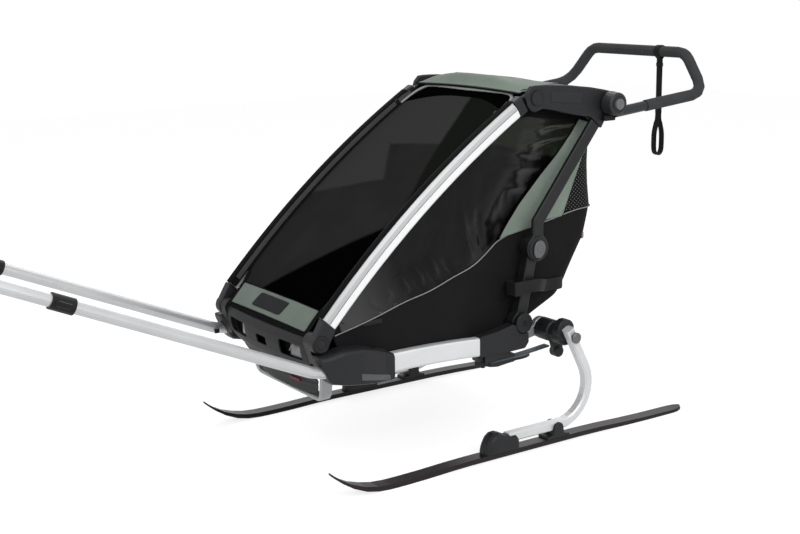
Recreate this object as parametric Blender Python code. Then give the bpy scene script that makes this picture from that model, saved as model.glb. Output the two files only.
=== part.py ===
"""Single-seat child trailer set up as a ski pulk, modelled as separate pieces on real joints.

Metres, +Z up, the front faces -Y and the trailer's left side is +X. All places below are
measured from a datum on the floor under the ski tips, midway between the skis. The empty
"trailer" moves that datum so that the model's own origin is the bottom centre of its bounds.
"""
import math

import bmesh
import bpy
from mathutils import Matrix, Vector

# Seat left between touching pieces, and running gap between pieces that turn past each other
SEAT_GAP = 0.0003
RUN_GAP = 0.0008

# Skis
SKI_LENGTH = 1.200
SKI_WIDTH = 0.047
SKI_THICK = 0.012
SKI_TIP_RISE = 0.070
SKI_TIP_LENGTH = 0.090
SKI_SHOVEL = 0.190
SKI_CAMBER = 0.005
SKI_CAMBER_START = 0.220
SKI_CAMBER_FULL = 0.420
SKI_CAMBER_FADE = 0.800
SKI_CAMBER_END = 1.050
SKI_TAIL = 0.045
SKI_TAIL_RISE = 0.003
HALF_TRACK = 0.3445

# Side frame: hinge axes run along X and are given as (y, z)
FOOT_PIVOT = Vector((0.0365, 0.3745))
TOP_PIVOT = Vector((0.7190, 0.9330))
MID_PIVOT = Vector((0.7270, 0.5270))
REAR_PIVOT = Vector((0.6810, 0.3236))
HANDLE_PIVOT = Vector((0.9750, 0.9030))
SWING_PIVOT = Vector((0.6330, 0.2586))
AXLE = Vector((0.7760, 0.2890))

# Side frame layers, measured outwards from the middle plane
FRAME_INNER = 0.2360
FRAME_OUTER = 0.2625
BEAM_INNER = 0.2315
STRUT_INNER = 0.2475
LOWER_STRUT_INNER = 0.2155

# Pillars: bowed aluminium extrusions between a moulded foot and a moulded head
PILLAR_DEPTH = 0.047
PILLAR_OFFSET = 0.011
PILLAR_BOW = 0.035
PILLAR_FOOT_END = 0.050
PILLAR_HEAD_END = 0.068
PILLAR_HEAD_CLEAR = 0.042
FOOT_DISC_R = 0.0255
FOOT_EAR_R = 0.0225
HEAD_EAR_R = 0.022
HEAD_EAR_THICK = 0.0130
CAP_R = 0.0205
CAP_HEIGHT = 0.0020
CROSSBAR_R = 0.012
FOOT_INSET = 0.0030
FOOT_PROUD = 0.0020
HEAD_EAR_INSET = 0.004
EDGE_ROUND = 0.0030

# Side beams and struts
BEAM_NOSE_R = 0.038
BEAM_REAR_R = 0.034
BEAM_CROWN = 0.0335
BEAM_BELLY = 0.0300
BEAM_SEAT_SPARE = 0.008
BEAM_CORNER = 0.005
BEAM_CAP_HEIGHT = 0.0028
UPPER_STRUT_W = 0.036
LOWER_STRUT_W = 0.034
MID_DISC_R = 0.0365
MID_INNER_R = 0.029
MID_RIM_R = 0.0335
MID_RIM_H = 0.0035
REAR_DISC_R = 0.0285
REAR_DISH_R = 0.0080
DIAL_R = 0.0225
DIAL_TAIL = 0.0060
DIAL_THICK = 0.0050
DIAL_SQUEEZE = 0.86
STRUT_KNEE = Vector((0.7290, 0.5990))
STRUT_SEAT = Vector((0.9300, 0.8530))

# Handle
HANDLE_TUBE_R = 0.0140
GRIP_R = 0.0162
HANDLE_START = Vector((0.2800, 0.9810, 0.8779))
HANDLE_CORNER = Vector((0.2890, 1.3180, 0.9127))
HANDLE_TOP = Vector((0.1990, 1.3330, 1.0212))
HANDLE_BEND = 0.055
HUB_R = 0.031
HUB_OUTER = 0.303
HUB_RECESS = 0.008
HUB_FLANGE = 0.003
HUB_EDGE = 0.004
HUB_BUTTON_R = 0.015
BUTTON_TRAVEL = 0.0036
HUB_BUTTON_H = 0.010
HUB_BUTTON_LIP = 0.0012
GRIP_START = 0.117
STRAP_WRAP = GRIP_R + 2.0 * SEAT_GAP
STRAP_X = 0.096
STRAP_W = 0.020
STRAP_THICK = 0.0022
STRAP_DROP = 0.310
STRAP_LOOP = 0.115
STRAP_LOOP_HALF = 0.016

# Base frame
RAIL_FRONT_Y = 0.2450
RAIL_REAR_Y = 0.5270
RAIL_FRONT_Z = 0.289
RAIL_REAR_Z = 0.2815
RAIL_HEIGHT = 0.052
RAIL_ARCH = 0.003
POD_FRONT_Y = 0.031
POD_INNER = 0.2350
POD_OUTER = 0.293
POD_TOP = 0.3480
POD_CREST = 0.3555
POD_BOTTOM = 0.2700
POD_CORNER = 0.010
POD_FOOT_Y = 0.014
POD_FOOT_RISE = 0.030
POD_FOOT_HALF = 0.016
POD_STATIONS = (
    (0.000, 0.46, 0.0050, -0.0070, 0.0100, -0.0145),
    (0.005, 0.46, 0.0010, -0.0020, 0.0030, -0.0085),
    (0.022, 0.38, 0.0000, 0.0000, 0.0000, -0.0075),
    (0.060, 0.10, 0.0000, 0.0020, -0.0060, 0.0000),
    (0.110, 0.00, 0.0000, 0.0000, -0.0130, -0.0030),
    (0.150, 0.00, 0.0000, -0.0070, -0.0190, -0.0130),
    (0.185, 0.00, 0.0000, -0.0160, -0.0220, -0.0260),
)
POD_END_PROUD = 0.013
POD_END_DROP = 0.015
POD_END_RISE = 0.003
CORNER_REAR_Y = 0.6960
CORNER_BOTTOM = 0.2515
CORNER_SHOULDER = 0.012
CORNER_CHAMFER = 0.013
CORNER_PROUD = 0.002
CROSSTUBE_R = 0.014
TUB_HALF = BEAM_INNER + 0.001 - SEAT_GAP
TUB_FLOOR = 0.270
TUB_RIM = 0.298
TUB_WALL = 0.005
TUB_FRONT_Y = 0.120
TUB_REAR_Y = 0.600
TUB_CHINE = 0.012
TUB_CORNER = 0.040

# Front bumper and the hoop under it
BUMPER_HALF = 0.2110
BUMPER_WALL = 0.004
BUMPER_LEVELS = (
    (0.3810, 0.0270, 1.00, 0.012),
    (0.3740, 0.0225, 1.00, 0.013),
    (0.3610, 0.0210, 1.00, 0.014),
    (0.3400, 0.0230, 1.00, 0.015),
    (0.3180, 0.0290, 0.99, 0.016),
    (0.3020, 0.0370, 0.97, 0.017),
    (0.2860, 0.0500, 0.93, 0.018),
    (0.2780, 0.0565, 0.91, 0.018),
    (0.2700, 0.0610, 0.89, 0.018),
    (0.2560, 0.0680, 0.86, 0.018),
    (0.2480, 0.0720, 0.835, 0.018),
    (0.2400, 0.0755, 0.81, 0.018),
    (0.2300, 0.0800, 0.78, 0.018),
    (0.2180, 0.0840, 0.74, 0.018),
    (0.2080, 0.0870, 0.69, 0.018),
)
BUMPER_RIBS = (7, 10)
RIB_DEPTH = 0.0022
LIP_DEPTH = 0.014
LIP_RISE = 0.002
SLOT_LOW = 0.318
SLOT_HIGH = 0.358
SLOT_NEAR_X = 0.092
SLOT_FAR_X = 0.188
SLOT_MIDDLE_HALF = 0.026
SLOT_CORNER = 0.004
HOOP_HALF_T = 0.005
HOOP_HALF_W = 0.017
HOOP_TOP = Vector((0.2060, 0.0850, 0.2985))
HOOP_LOW = Vector((0.1650, 0.1010, 0.1960))
HOOP_TOP_BEND = 0.018
HOOP_LOW_BEND = 0.022

# Tow arms
ARM_R = 0.0150
ARM_BEND = Vector((0.2660, 0.0040, 0.3105))
ARM_SEAT = Vector((0.2660, 0.1250, 0.2830))
ARM_AIM = Vector((0.2400, -0.7302, 0.6290))
ARM_LENGTH = 1.500
ARM_BEND_R = 0.080
ARM_JOINT = 0.660
PIN_THICK = 0.0025
PIN_WIDTH = 0.012
PIN_PATH = (
    Vector((0.0190, 0.3225)),
    Vector((0.0090, 0.3140)),
    Vector((0.0045, 0.2990)),
    Vector((0.0055, 0.2800)),
)
TAB_X = 0.2580
TAB_HALF = 0.0095
TAB_LENGTH = 0.036
TAB_TRAVEL = 0.003
TAB_BACK = 0.172
TAB_DROP = 0.034
TAB_SHAPE = ((-0.5, 0.0130), (-0.3, 0.0155), (0.3, 0.0095), (0.5, 0.0060))
CLIP_R = 0.0195
CLIP_LENGTH = 0.056
LUG_SINK = 0.0025
LUG_SHAPE = ((-0.8, 0.006, 0.004), (-0.5, 0.008, 0.008), (0.5, 0.008, 0.008), (0.8, 0.005, 0.004))

# Suspension
SWING_THICK = 0.0185
SWING_INNER = 0.2042
SWING_EYE_R = 0.023
SWING_END_R = 0.030
SWING_BAR = 0.030
AXLE_HUB_R = 0.0310
AXLE_HUB_STEP = 0.004
AXLE_HUB_BACK = 0.0175
HUB_CROWN = Vector((-0.0040, 0.0150))
HUB_CROWN_LENGTH = 0.028
HUB_STOP = Vector((0.0100, -0.0580))
HUB_STOP_R = 0.0160
HUB_WEB = 0.012
LEAF_W = 0.024
LEAF_THICK = 0.005
LEAF_FRONT = Vector((0.5520, 0.2300))
LEAF_REAR = Vector((0.7725, 0.2431))
LEAF_SAG = 0.003
KNOB_R = 0.0152
KNOB_H = 0.010
KNOB_STEM_R = 0.008
KNOB_TRAVEL = 0.002

# Ski arms and their brackets
SKI_ARM_W = 0.028
SKI_ARM_DEPTH = 0.025
SKI_ARM_TOP = 0.026
SKI_ARM_FOOT_Z = 0.049
SKI_ARM_BULGE_Y = 0.833
SKI_ARM_FOOT_Y = 0.552
BRACKET_HALF = 0.0216
FRONT_BRACKET_Y = 0.467
FRONT_BRACKET_END = 0.579
FRONT_BRACKET_RISE = 0.055
FRONT_BRACKET_SHAPE = (
    (0.00, 0.30, 0.06), (0.04, 0.58, 0.30), (0.10, 0.80, 0.54), (0.20, 0.96, 0.82), (0.32, 1.00, 0.98),
    (0.42, 1.00, 1.00), (0.55, 1.00, 0.90), (0.68, 1.00, 0.76), (0.78, 1.00, 0.72), (0.94, 1.00, 0.71),
    (1.00, 0.96, 0.58),
)
FRONT_BRACKET_CORNER = 0.012
REAR_BRACKET_Y = 0.719
REAR_BRACKET_R = 0.0165
REAR_BRACKET_DROP = 0.0055
REAR_BRACKET_REACH = 0.040
REAR_BRACKET_FLANGE = 0.006

# Soft parts
CLOTH = 0.003
COVER_HALF = 0.2335
COVER_LOW_HALF = 0.2110
COVER_LIFT_LOW = 0.004
COVER_LIFT_TOP = 0.031
COVER_START = 0.004
COVER_END = 0.044
COVER_WIDEN = 0.055
COVER_SWELL = (0.006, 0.010, 0.026)
SIDE_OUTER = POD_INNER - SEAT_GAP
SIDE_STRUT_X = 0.2010
SEAM_Y = 0.034
CANOPY_HALF = BEAM_INNER - SEAT_GAP
CANOPY_CROWN_FRONT = 0.036
CANOPY_CROWN_REAR = 0.002
CANOPY_BOW = 0.036
CANOPY_FRONT = 0.034
CANOPY_REAR = 0.222
CANOPY_RISE = 0.018
CANOPY_FRONT_RISE = 0.019
CANOPY_REAR_RISE = 0.034
CANOPY_EDGE_DROP = 0.002
SIDE_PUFF = 0.004
SIDE_FOLD = 0.0018
REAR_INSET = 0.0035
REAR_SEAM = 0.0059
REAR_CORNER = 0.060
REAR_LEAST = 0.012
REAR_CROWN = 0.003
REAR_PROFILE = (
    Vector((0.945, 0.885)),
    Vector((0.975, 0.830)),
    Vector((0.990, 0.785)),
    Vector((0.988, 0.728)),
    Vector((0.990, 0.671)),
    Vector((1.000, 0.601)),
    Vector((0.980, 0.522)),
    Vector((0.951, 0.472)),
    Vector((0.911, 0.398)),
    Vector((0.890, 0.366)),
    Vector((0.785, 0.322)),
)
SEAT_HALF = 0.155
SEAT_THICK = 0.030
SEAT_SPINE = (
    Vector((0.318, TUB_FLOOR + TUB_WALL + SEAT_GAP)),
    Vector((0.318, 0.325)),
    Vector((0.334, 0.366)),
    Vector((0.400, 0.372)),
    Vector((0.480, 0.364)),
    Vector((0.535, 0.370)),
    Vector((0.568, 0.396)),
    Vector((0.590, 0.444)),
    Vector((0.618, 0.560)),
    Vector((0.645, 0.690)),
    Vector((0.668, 0.790)),
    Vector((0.680, 0.840)),
)


def shift_to_origin():
    """Distance along Y that puts the middle of the overall length on the origin."""
    arm_direction = (ARM_AIM - ARM_BEND).normalized()
    front = (ARM_BEND + arm_direction * ARM_LENGTH).y
    tilt = math.sqrt(1.0 - arm_direction.y ** 2)
    front -= ARM_R * tilt
    rear = HANDLE_TOP.y + STRAP_WRAP + STRAP_THICK
    return -0.5 * (front + rear)


# Shared helpers

joint_points = {}


def clear_scene():
    for obj in list(bpy.data.objects):
        bpy.data.objects.remove(obj, do_unlink=True)


def material(name, colour, roughness, metallic=0.0):
    mat = bpy.data.materials.new(name)
    mat.use_nodes = True
    shader = mat.node_tree.nodes["Principled BSDF"]
    shader.inputs["Base Color"].default_value = (*colour, 1.0)
    shader.inputs["Roughness"].default_value = roughness
    shader.inputs["Metallic"].default_value = metallic
    return mat


def pivot(name, parent, point):
    """Empty on a joint's axis, at a point measured from the datum."""
    empty = bpy.data.objects.new(name, None)
    empty.empty_display_size = 0.03
    bpy.context.collection.objects.link(empty)
    joint_points[name] = Vector(point)
    if parent is None:
        empty.location = (0.0, shift_to_origin(), 0.0)
    else:
        empty.parent = parent
        empty.location = Vector(point) - joint_points[parent.name]
    return empty


def piece(name, bm, mat, parent, sharp=35.0):
    """Turn a bmesh in datum coordinates into a named object that its joint's empty carries."""
    bmesh.ops.recalc_face_normals(bm, faces=bm.faces)
    mesh = bpy.data.meshes.new(name)
    bm.to_mesh(mesh)
    bm.free()
    mesh.shade_smooth()
    mesh.set_sharp_from_angle(angle=math.radians(sharp))
    obj = bpy.data.objects.new(name, mesh)
    obj.data.materials.append(mat)
    bpy.context.collection.objects.link(obj)
    obj.parent = parent
    obj.location = -joint_points[parent.name]
    return obj


def tool(name, bm, parent):
    """Shape that only feeds a Boolean and isn't a piece."""
    obj = piece(name, bm, bpy.data.materials["tool"], parent)
    obj.hide_render = True
    obj.display_type = "WIRE"
    return obj


def boolean(obj, other, operation):
    mod = obj.modifiers.new(operation.lower(), "BOOLEAN")
    mod.object = other
    mod.operation = operation
    mod.solver = "EXACT"


def soften(obj, width, segments=2):
    mod = obj.modifiers.new("soften", "BEVEL")
    mod.width = width
    mod.segments = segments
    mod.limit_method = "ANGLE"
    mod.angle_limit = math.radians(35.0)
    mod.use_clamp_overlap = True


def polar(centre, radius, degrees):
    angle = math.radians(degrees)
    return Vector((centre[0] + radius * math.cos(angle), centre[1] + radius * math.sin(angle)))


def arc(centre, radius, start, end, steps):
    return [polar(centre, radius, start + (end - start) * i / steps) for i in range(steps + 1)]


def heading(start, end):
    """Angle in degrees of the line from one (y, z) point to another."""
    return math.degrees(math.atan2(end[1] - start[1], end[0] - start[0]))


def mix(a, b, t):
    return a + (b - a) * t


def smooth_step(t):
    t = min(max(t, 0.0), 1.0)
    return t * t * (3.0 - 2.0 * t)


def section(half_a, half_b, corner, steps=2):
    """Rounded rectangle as (a, b) points, counter-clockwise."""
    points = []
    for index, (sign_a, sign_b) in enumerate(((1, 1), (-1, 1), (-1, -1), (1, -1))):
        centre = (sign_a * (half_a - corner), sign_b * (half_b - corner))
        points += arc(centre, corner, 90.0 * index, 90.0 * (index + 1), steps)
    return [(p[0], p[1]) for p in points]


def circle(radius, sides):
    return [(radius * math.cos(2 * math.pi * i / sides), radius * math.sin(2 * math.pi * i / sides))
            for i in range(sides)]


def loft(rings):
    """Skin a list of rings, all with as many points, and close both ends."""
    bm = bmesh.new()
    levels = [[bm.verts.new(p) for p in ring] for ring in rings]
    count = len(levels[0])
    for low, high in zip(levels, levels[1:]):
        for i in range(count):
            j = (i + 1) % count
            bm.faces.new((low[i], low[j], high[j], high[i]))
    bm.faces.new(list(reversed(levels[0])))
    bm.faces.new(levels[-1])
    return bm


def hollow_loft(outer, inner):
    """Sleeve between two lists of rings, open at both ends."""
    bm = bmesh.new()
    skins = []
    for rings in (outer, inner):
        levels = [[bm.verts.new(p) for p in ring] for ring in rings]
        skins.append(levels)
        count = len(levels[0])
        for low, high in zip(levels, levels[1:]):
            for i in range(count):
                j = (i + 1) % count
                bm.faces.new((low[i], low[j], high[j], high[i]))
    for end in (0, -1):
        outside, inside = skins[0][end], skins[1][end]
        for i in range(len(outside)):
            j = (i + 1) % len(outside)
            bm.faces.new((outside[i], outside[j], inside[j], inside[i]))
    return bm


def rings_yz(path, x, sections, side):
    """Rings square to a path in the side plane. sections holds one outline, or one for each point."""
    rings = []
    for index, point in enumerate(path):
        before = path[max(index - 1, 0)]
        after = path[min(index + 1, len(path) - 1)]
        along = (after - before).normalized()
        normal = Vector((0.0, -along[1], along[0]))
        outline = sections[index] if isinstance(sections[0][0], (list, tuple)) else sections
        centre = Vector((x, point[0], point[1]))
        ring = [centre + Vector((1.0, 0.0, 0.0)) * a + normal * b for a, b in outline]
        rings.append([Vector((side * p.x, p.y, p.z)) for p in ring])
    return rings


def upright_ring(y, x0, x1, z0, z1, corner, side):
    """Rounded rectangle standing square to Y."""
    outline = section(0.5 * (x1 - x0), 0.5 * (z1 - z0), corner)
    centre = Vector((0.5 * (x0 + x1), y, 0.5 * (z0 + z1)))
    return [Vector((side * (centre.x + a), centre.y, centre.z + b)) for a, b in outline]


def plate(outline, x0, x1, side=1):
    """Extrude an outline in the side plane from x0 to x1."""
    return loft([[Vector((side * x, p[0], p[1])) for p in outline] for x in (x0, x1)])


def turned(centre, profile, sides, side=1):
    """Turn a profile of (x, radius) about an axis along X through a (y, z) centre."""
    rings = []
    for x, radius in profile:
        rings.append([Vector((side * x, centre[0] + a, centre[1] + b)) for a, b in circle(radius, sides)])
    return loft(rings)


def rounded_route(points, radii, steps=6):
    """Straight runs through corner points, each corner turned on its own radius."""
    route = [points[0]]
    for before, corner, after, radius in zip(points, points[1:], points[2:], radii):
        to_before = (before - corner).normalized()
        to_after = (after - corner).normalized()
        half = 0.5 * to_before.angle(to_after)
        reach = radius / math.tan(half)
        centre = corner + (to_before + to_after).normalized() * (radius / math.sin(half))
        start = corner + to_before * reach - centre
        end = corner + to_after * reach - centre
        turn = start.angle(end)
        for i in range(steps + 1):
            t = i / steps
            blend = (start * math.sin((1 - t) * turn) + end * math.sin(t * turn)) / math.sin(turn)
            route.append(centre + blend)
    route.append(points[-1])
    return route


def tube_rings(route, outline, across=None):
    """Rings square to a route in space, carried along it without twist."""
    rings = []
    first = (route[1] - route[0]).normalized()
    if across is None:
        across = first.cross(Vector((0.0, 0.0, 1.0)))
    for index, point in enumerate(route):
        before = route[max(index - 1, 0)]
        after = route[min(index + 1, len(route) - 1)]
        along = (after - before).normalized()
        across = (across - along * across.dot(along)).normalized()
        normal = along.cross(across)
        rings.append([point + across * a + normal * b for a, b in outline])
    return rings


def sheet(rows, depth):
    """Closed skin over a grid of points, thickened by moving a second grid along the normals."""
    bm = bmesh.new()
    faces = []
    grid = [[bm.verts.new(p) for p in row] for row in rows]
    for low, high in zip(grid, grid[1:]):
        for i in range(len(low) - 1):
            faces.append(bm.faces.new((low[i], low[i + 1], high[i + 1], high[i])))
    bmesh.ops.recalc_face_normals(bm, faces=bm.faces)
    bmesh.ops.solidify(bm, geom=faces, thickness=depth)
    return bm


SIDES = (("left", 1), ("right", -1))


# Materials

def make_materials():
    return {
        "tool": material("tool", (0.8, 0.1, 0.1), 0.5),
        "aluminium": material("aluminium", (0.80, 0.81, 0.82), 0.30, 1.0),
        "black_plastic": material("black_plastic", (0.022, 0.023, 0.025), 0.50),
        "grey_plastic": material("grey_plastic", (0.16, 0.165, 0.17), 0.45),
        "handle_coat": material("handle_coat", (0.045, 0.048, 0.052), 0.45),
        "grip_foam": material("grip_foam", (0.050, 0.052, 0.056), 0.85),
        "spring_steel": material("spring_steel", (0.10, 0.125, 0.16), 0.35, 0.8),
        "ski_top": material("ski_top", (0.030, 0.024, 0.025), 0.35),
        "green_cloth": material("green_cloth", (0.165, 0.205, 0.165), 0.85),
        "black_cloth": material("black_cloth", (0.018, 0.018, 0.019), 0.85),
        "window": material("window", (0.020, 0.020, 0.022), 0.12),
        "webbing": material("webbing", (0.012, 0.012, 0.013), 0.80),
        "seat_cloth": material("seat_cloth", (0.040, 0.041, 0.044), 0.90),
    }


# Pillars and the covers that ride on them

def pillar_line():
    """Centre line of a pillar between the levels of its two hinges, bowed outwards."""
    chord = TOP_PIVOT - FOOT_PIVOT
    length = chord.length
    radius = (0.25 * length ** 2 + PILLAR_BOW ** 2) / (2.0 * PILLAR_BOW)
    half_angle = math.asin(0.5 * length / radius)
    outward = Vector((-chord[1], chord[0])).normalized()
    middle = (FOOT_PIVOT + TOP_PIVOT) * 0.5 + outward * PILLAR_OFFSET
    centre = middle - outward * (radius - PILLAR_BOW)
    mid_heading = heading(centre, middle)

    def at(distance):
        """Point at a distance from the foot end, measured along the bowed line."""
        angle = mid_heading + math.degrees(half_angle - distance / radius)
        return polar(centre, radius, angle)

    return at, 2.0 * half_angle * radius


def pillar_normal(at, distance):
    step = 0.002
    along = (at(distance + step) - at(distance - step)).normalized()
    return along, Vector((-along[1], along[0]))


def make_pillar(name, side, mats, parent):
    at, length = pillar_line()
    start = PILLAR_FOOT_END + SEAT_GAP
    end = length - PILLAR_HEAD_END - 3.0 * SEAT_GAP
    steps = 12
    path = [at(mix(start, end, i / steps)) for i in range(steps + 1)]
    half_x = 0.5 * (FRAME_OUTER - FRAME_INNER)
    half_d = 0.5 * PILLAR_DEPTH
    groove = 0.0014
    corner = 0.003
    outline = [
        (-half_x, -half_d + corner),
        (-half_x + corner, -half_d),
        (half_x - 2 * corner, -half_d),
        (half_x - 0.5 * corner, -half_d + 1.5 * corner),
        (half_x, -groove),
        (half_x - groove, 0.0),
        (half_x, groove),
        (half_x - corner, 0.5 * half_d),
        (half_x - 2.5 * corner, half_d - corner),
        (half_x - 4 * corner, half_d),
        (-half_x + corner, half_d),
        (-half_x, half_d - corner),
    ]
    x = 0.5 * (FRAME_INNER + FRAME_OUTER)
    piece(name, loft(rings_yz(path, x, outline, side)), mats["aluminium"], parent, 28.0)


def strap_outline(pivot_point, radius, base, normal, half_width, steps=12):
    """Outline of an eye round a hinge that runs out into an arm ending square at a base point."""
    direction = heading(pivot_point, base)
    spread = math.degrees(math.asin(half_width / radius))
    eye = arc(pivot_point, radius, direction + spread, direction + 360.0 - spread, steps)
    if normal.dot(eye[0] - pivot_point) < 0.0:
        normal = -normal
    return eye + [base - normal * half_width, base + normal * half_width]


def bar_sides(points, half):
    """Both edges of a bent bar in the side plane, mitred at its inner points."""
    left = []
    right = []
    for index, point in enumerate(points):
        before = (point - points[index - 1]).normalized() if index else None
        after = (points[index + 1] - point).normalized() if index < len(points) - 1 else None
        along = after if before is None else before if after is None else (before + after).normalized()
        reach = half if before is None or after is None else half / along.dot(before)
        normal = Vector((-along[1], along[0])) * reach
        left.append(point + normal)
        right.append(point - normal)
    return left, right


def turned_cap(centre, face, radius, height, sides, side):
    """Low raised disc with a shallow dish, standing on a face square to X."""
    lip = 0.0010
    profile = (
        (face - height, radius),
        (face + height - lip, radius),
        (face + height, radius - lip),
        (face + height, radius - 5.0 * lip),
        (face + height - lip, radius - 6.0 * lip),
    )
    return turned(centre, profile, sides, side)


def make_pillar_foot(name, side, mats, parent):
    at, length = pillar_line()
    along, normal = pillar_normal(at, PILLAR_FOOT_END)
    outline = strap_outline(FOOT_PIVOT, FOOT_DISC_R, at(PILLAR_FOOT_END), normal, 0.5 * PILLAR_DEPTH)
    inner = FRAME_INNER + FOOT_INSET
    outer = FRAME_OUTER + FOOT_PROUD
    foot = piece(name, plate(outline, inner, outer, side), mats["black_plastic"], parent)
    soften(foot, EDGE_ROUND, 1)
    cap = tool(name + "_cap", turned_cap(FOOT_PIVOT, outer, CAP_R, CAP_HEIGHT, 20, side), parent)
    boolean(foot, cap, "UNION")


def make_front_crossbar(mats, parent):
    """Cross tube at the top hinge with a moulded head on each end that takes the pillar."""
    at, length = pillar_line()
    reach = FRAME_INNER + 0.5 * HEAD_EAR_THICK
    profile = [(-reach, CROSSBAR_R), (reach, CROSSBAR_R)]
    bar = piece("front_crossbar", turned(TOP_PIVOT, profile, 16), mats["black_plastic"], parent)
    near = length - PILLAR_HEAD_END
    along, normal = pillar_normal(at, near)
    outline = strap_outline(TOP_PIVOT, HEAD_EAR_R, at(near), normal, 0.5 * PILLAR_DEPTH - HEAD_EAR_INSET)
    collar_path = [at(near), at(length - PILLAR_HEAD_CLEAR)]
    collar_outline = section(0.5 * (FRAME_OUTER - FRAME_INNER), 0.5 * PILLAR_DEPTH, HEAD_EAR_INSET)
    x = 0.5 * (FRAME_INNER + FRAME_OUTER)
    for label, side in SIDES:
        ear = tool("head_ear_" + label, plate(outline, FRAME_INNER, FRAME_INNER + HEAD_EAR_THICK, side), parent)
        collar = tool("head_collar_" + label, loft(rings_yz(collar_path, x, collar_outline, side)), parent)
        boolean(bar, ear, "UNION")
        boolean(bar, collar, "UNION")


def make_front_cover(mats, parent):
    """Window panel stretched between the pillars from the bumper to the top crossbar."""
    at, length = pillar_line()
    rows = []
    steps = 14
    columns = 10
    for i in range(steps + 1):
        s = i / steps
        distance = mix(COVER_START, length - COVER_END, s)
        along, normal = pillar_normal(at, distance)
        base = at(distance) + normal * mix(COVER_LIFT_LOW, COVER_LIFT_TOP, s ** 1.6)
        half = mix(COVER_LOW_HALF, COVER_HALF, smooth_step((distance - COVER_WIDEN) / 0.08))
        swell = mix(COVER_SWELL[0], COVER_SWELL[1], s) + COVER_SWELL[2] * smooth_step((s - 0.75) / 0.25)
        row = []
        for j in range(columns + 1):
            t = -1.0 + 2.0 * j / columns
            point = base + normal * swell * (1.0 - t * t)
            row.append(Vector((t * half, point[0], point[1])))
        rows.append(row)
    piece("front_cover", sheet(rows, CLOTH), mats["window"], parent)


# Beams, struts and roof, which turn together about the top hinge

def strut_axes():
    """Direction of the upper strut's straight run and the direction square to it."""
    along = (STRUT_SEAT - STRUT_KNEE).normalized()
    return along, Vector((-along[1], along[0]))


def make_side_beam(name, side, mats, parent):
    """Moulded beam from a round nose over the top hinge to a round boss at the handle hinge."""
    along, across = strut_axes()
    seat_a = STRUT_SEAT + across * (0.5 * UPPER_STRUT_W + BEAM_SEAT_SPARE)
    seat_b = STRUT_SEAT - across * (0.5 * UPPER_STRUT_W + BEAM_SEAT_SPARE)
    nose_y = TOP_PIVOT[0]
    crown = TOP_PIVOT[1] + BEAM_CROWN
    belly = TOP_PIVOT[1] - BEAM_BELLY
    stations = []
    for degrees in (178.0, 150.0, 122.0, 98.0):
        p = polar(TOP_PIVOT, BEAM_NOSE_R, degrees)
        q = polar(TOP_PIVOT, BEAM_NOSE_R, -degrees)
        stations.append((p[0], q[1], min(p[1], crown), 0.0))
    stations += [
        (nose_y + 0.022, belly, crown, 0.0),
        (nose_y + 0.044, belly - 0.004, crown - 0.001, 0.0),
        (nose_y + 0.056, belly - 0.006, crown - 0.002, 1.0),
        (nose_y + 0.120, belly - 0.021, crown - 0.007, 1.0),
        (seat_a[0] - 0.010, seat_a[1] + 0.002, crown - 0.015, 1.0),
        (seat_a[0], seat_a[1], crown - 0.016, 1.0),
        (seat_b[0], seat_b[1], HANDLE_PIVOT[1] + BEAM_REAR_R + 0.006, 1.0),
        (seat_b[0] + 0.010, seat_b[1] + 0.016, HANDLE_PIVOT[1] + BEAM_REAR_R + 0.004, 1.0),
    ]
    for degrees in (82.0, 55.0, 28.0, 2.0):
        p = polar(HANDLE_PIVOT, BEAM_REAR_R, degrees)
        q = polar(HANDLE_PIVOT, BEAM_REAR_R, -degrees)
        stations.append((p[0], q[1], p[1], 1.0))
    stations.sort(key=lambda s: s[0])
    nose_inner = FRAME_INNER + HEAD_EAR_THICK + RUN_GAP
    rings = []
    for y, low, high, full in stations:
        inner = BEAM_INNER if full else nose_inner
        corner = min(BEAM_CORNER, 0.45 * (high - low), 0.45 * (FRAME_OUTER - inner))
        rings.append(upright_ring(y, inner, FRAME_OUTER, low, high, corner, side))
    beam = piece(name, loft(rings), mats["black_plastic"], parent, 30.0)
    cap = tool(name + "_cap", turned_cap(TOP_PIVOT, FRAME_OUTER, CAP_R, BEAM_CAP_HEIGHT, 20, side), parent)
    boolean(beam, cap, "UNION")


def make_upper_strut(name, side, mats, parent):
    along, across = strut_axes()
    half = 0.5 * UPPER_STRUT_W
    end = STRUT_SEAT - along * SEAT_GAP
    left, right = bar_sides([MID_PIVOT, STRUT_KNEE, end], half)
    direction = heading(MID_PIVOT, STRUT_KNEE)
    spread = math.degrees(math.asin(half / MID_DISC_R))
    outline = arc(MID_PIVOT, MID_DISC_R, direction + spread, direction + 360.0 - spread, 16)
    outline += right[1:] + list(reversed(left[1:]))
    strut = piece(name, plate(outline, STRUT_INNER, FRAME_OUTER, side), mats["black_plastic"], parent)
    soften(strut, EDGE_ROUND, 1)
    rim_profile = (
        (FRAME_OUTER - 0.0040, MID_RIM_R),
        (FRAME_OUTER + MID_RIM_H - 0.0010, MID_RIM_R),
        (FRAME_OUTER + MID_RIM_H, MID_RIM_R - 0.0010),
    )
    rim = tool(name + "_rim", turned(MID_PIVOT, rim_profile, 24, side), parent)
    boolean(strut, rim, "UNION")


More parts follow.
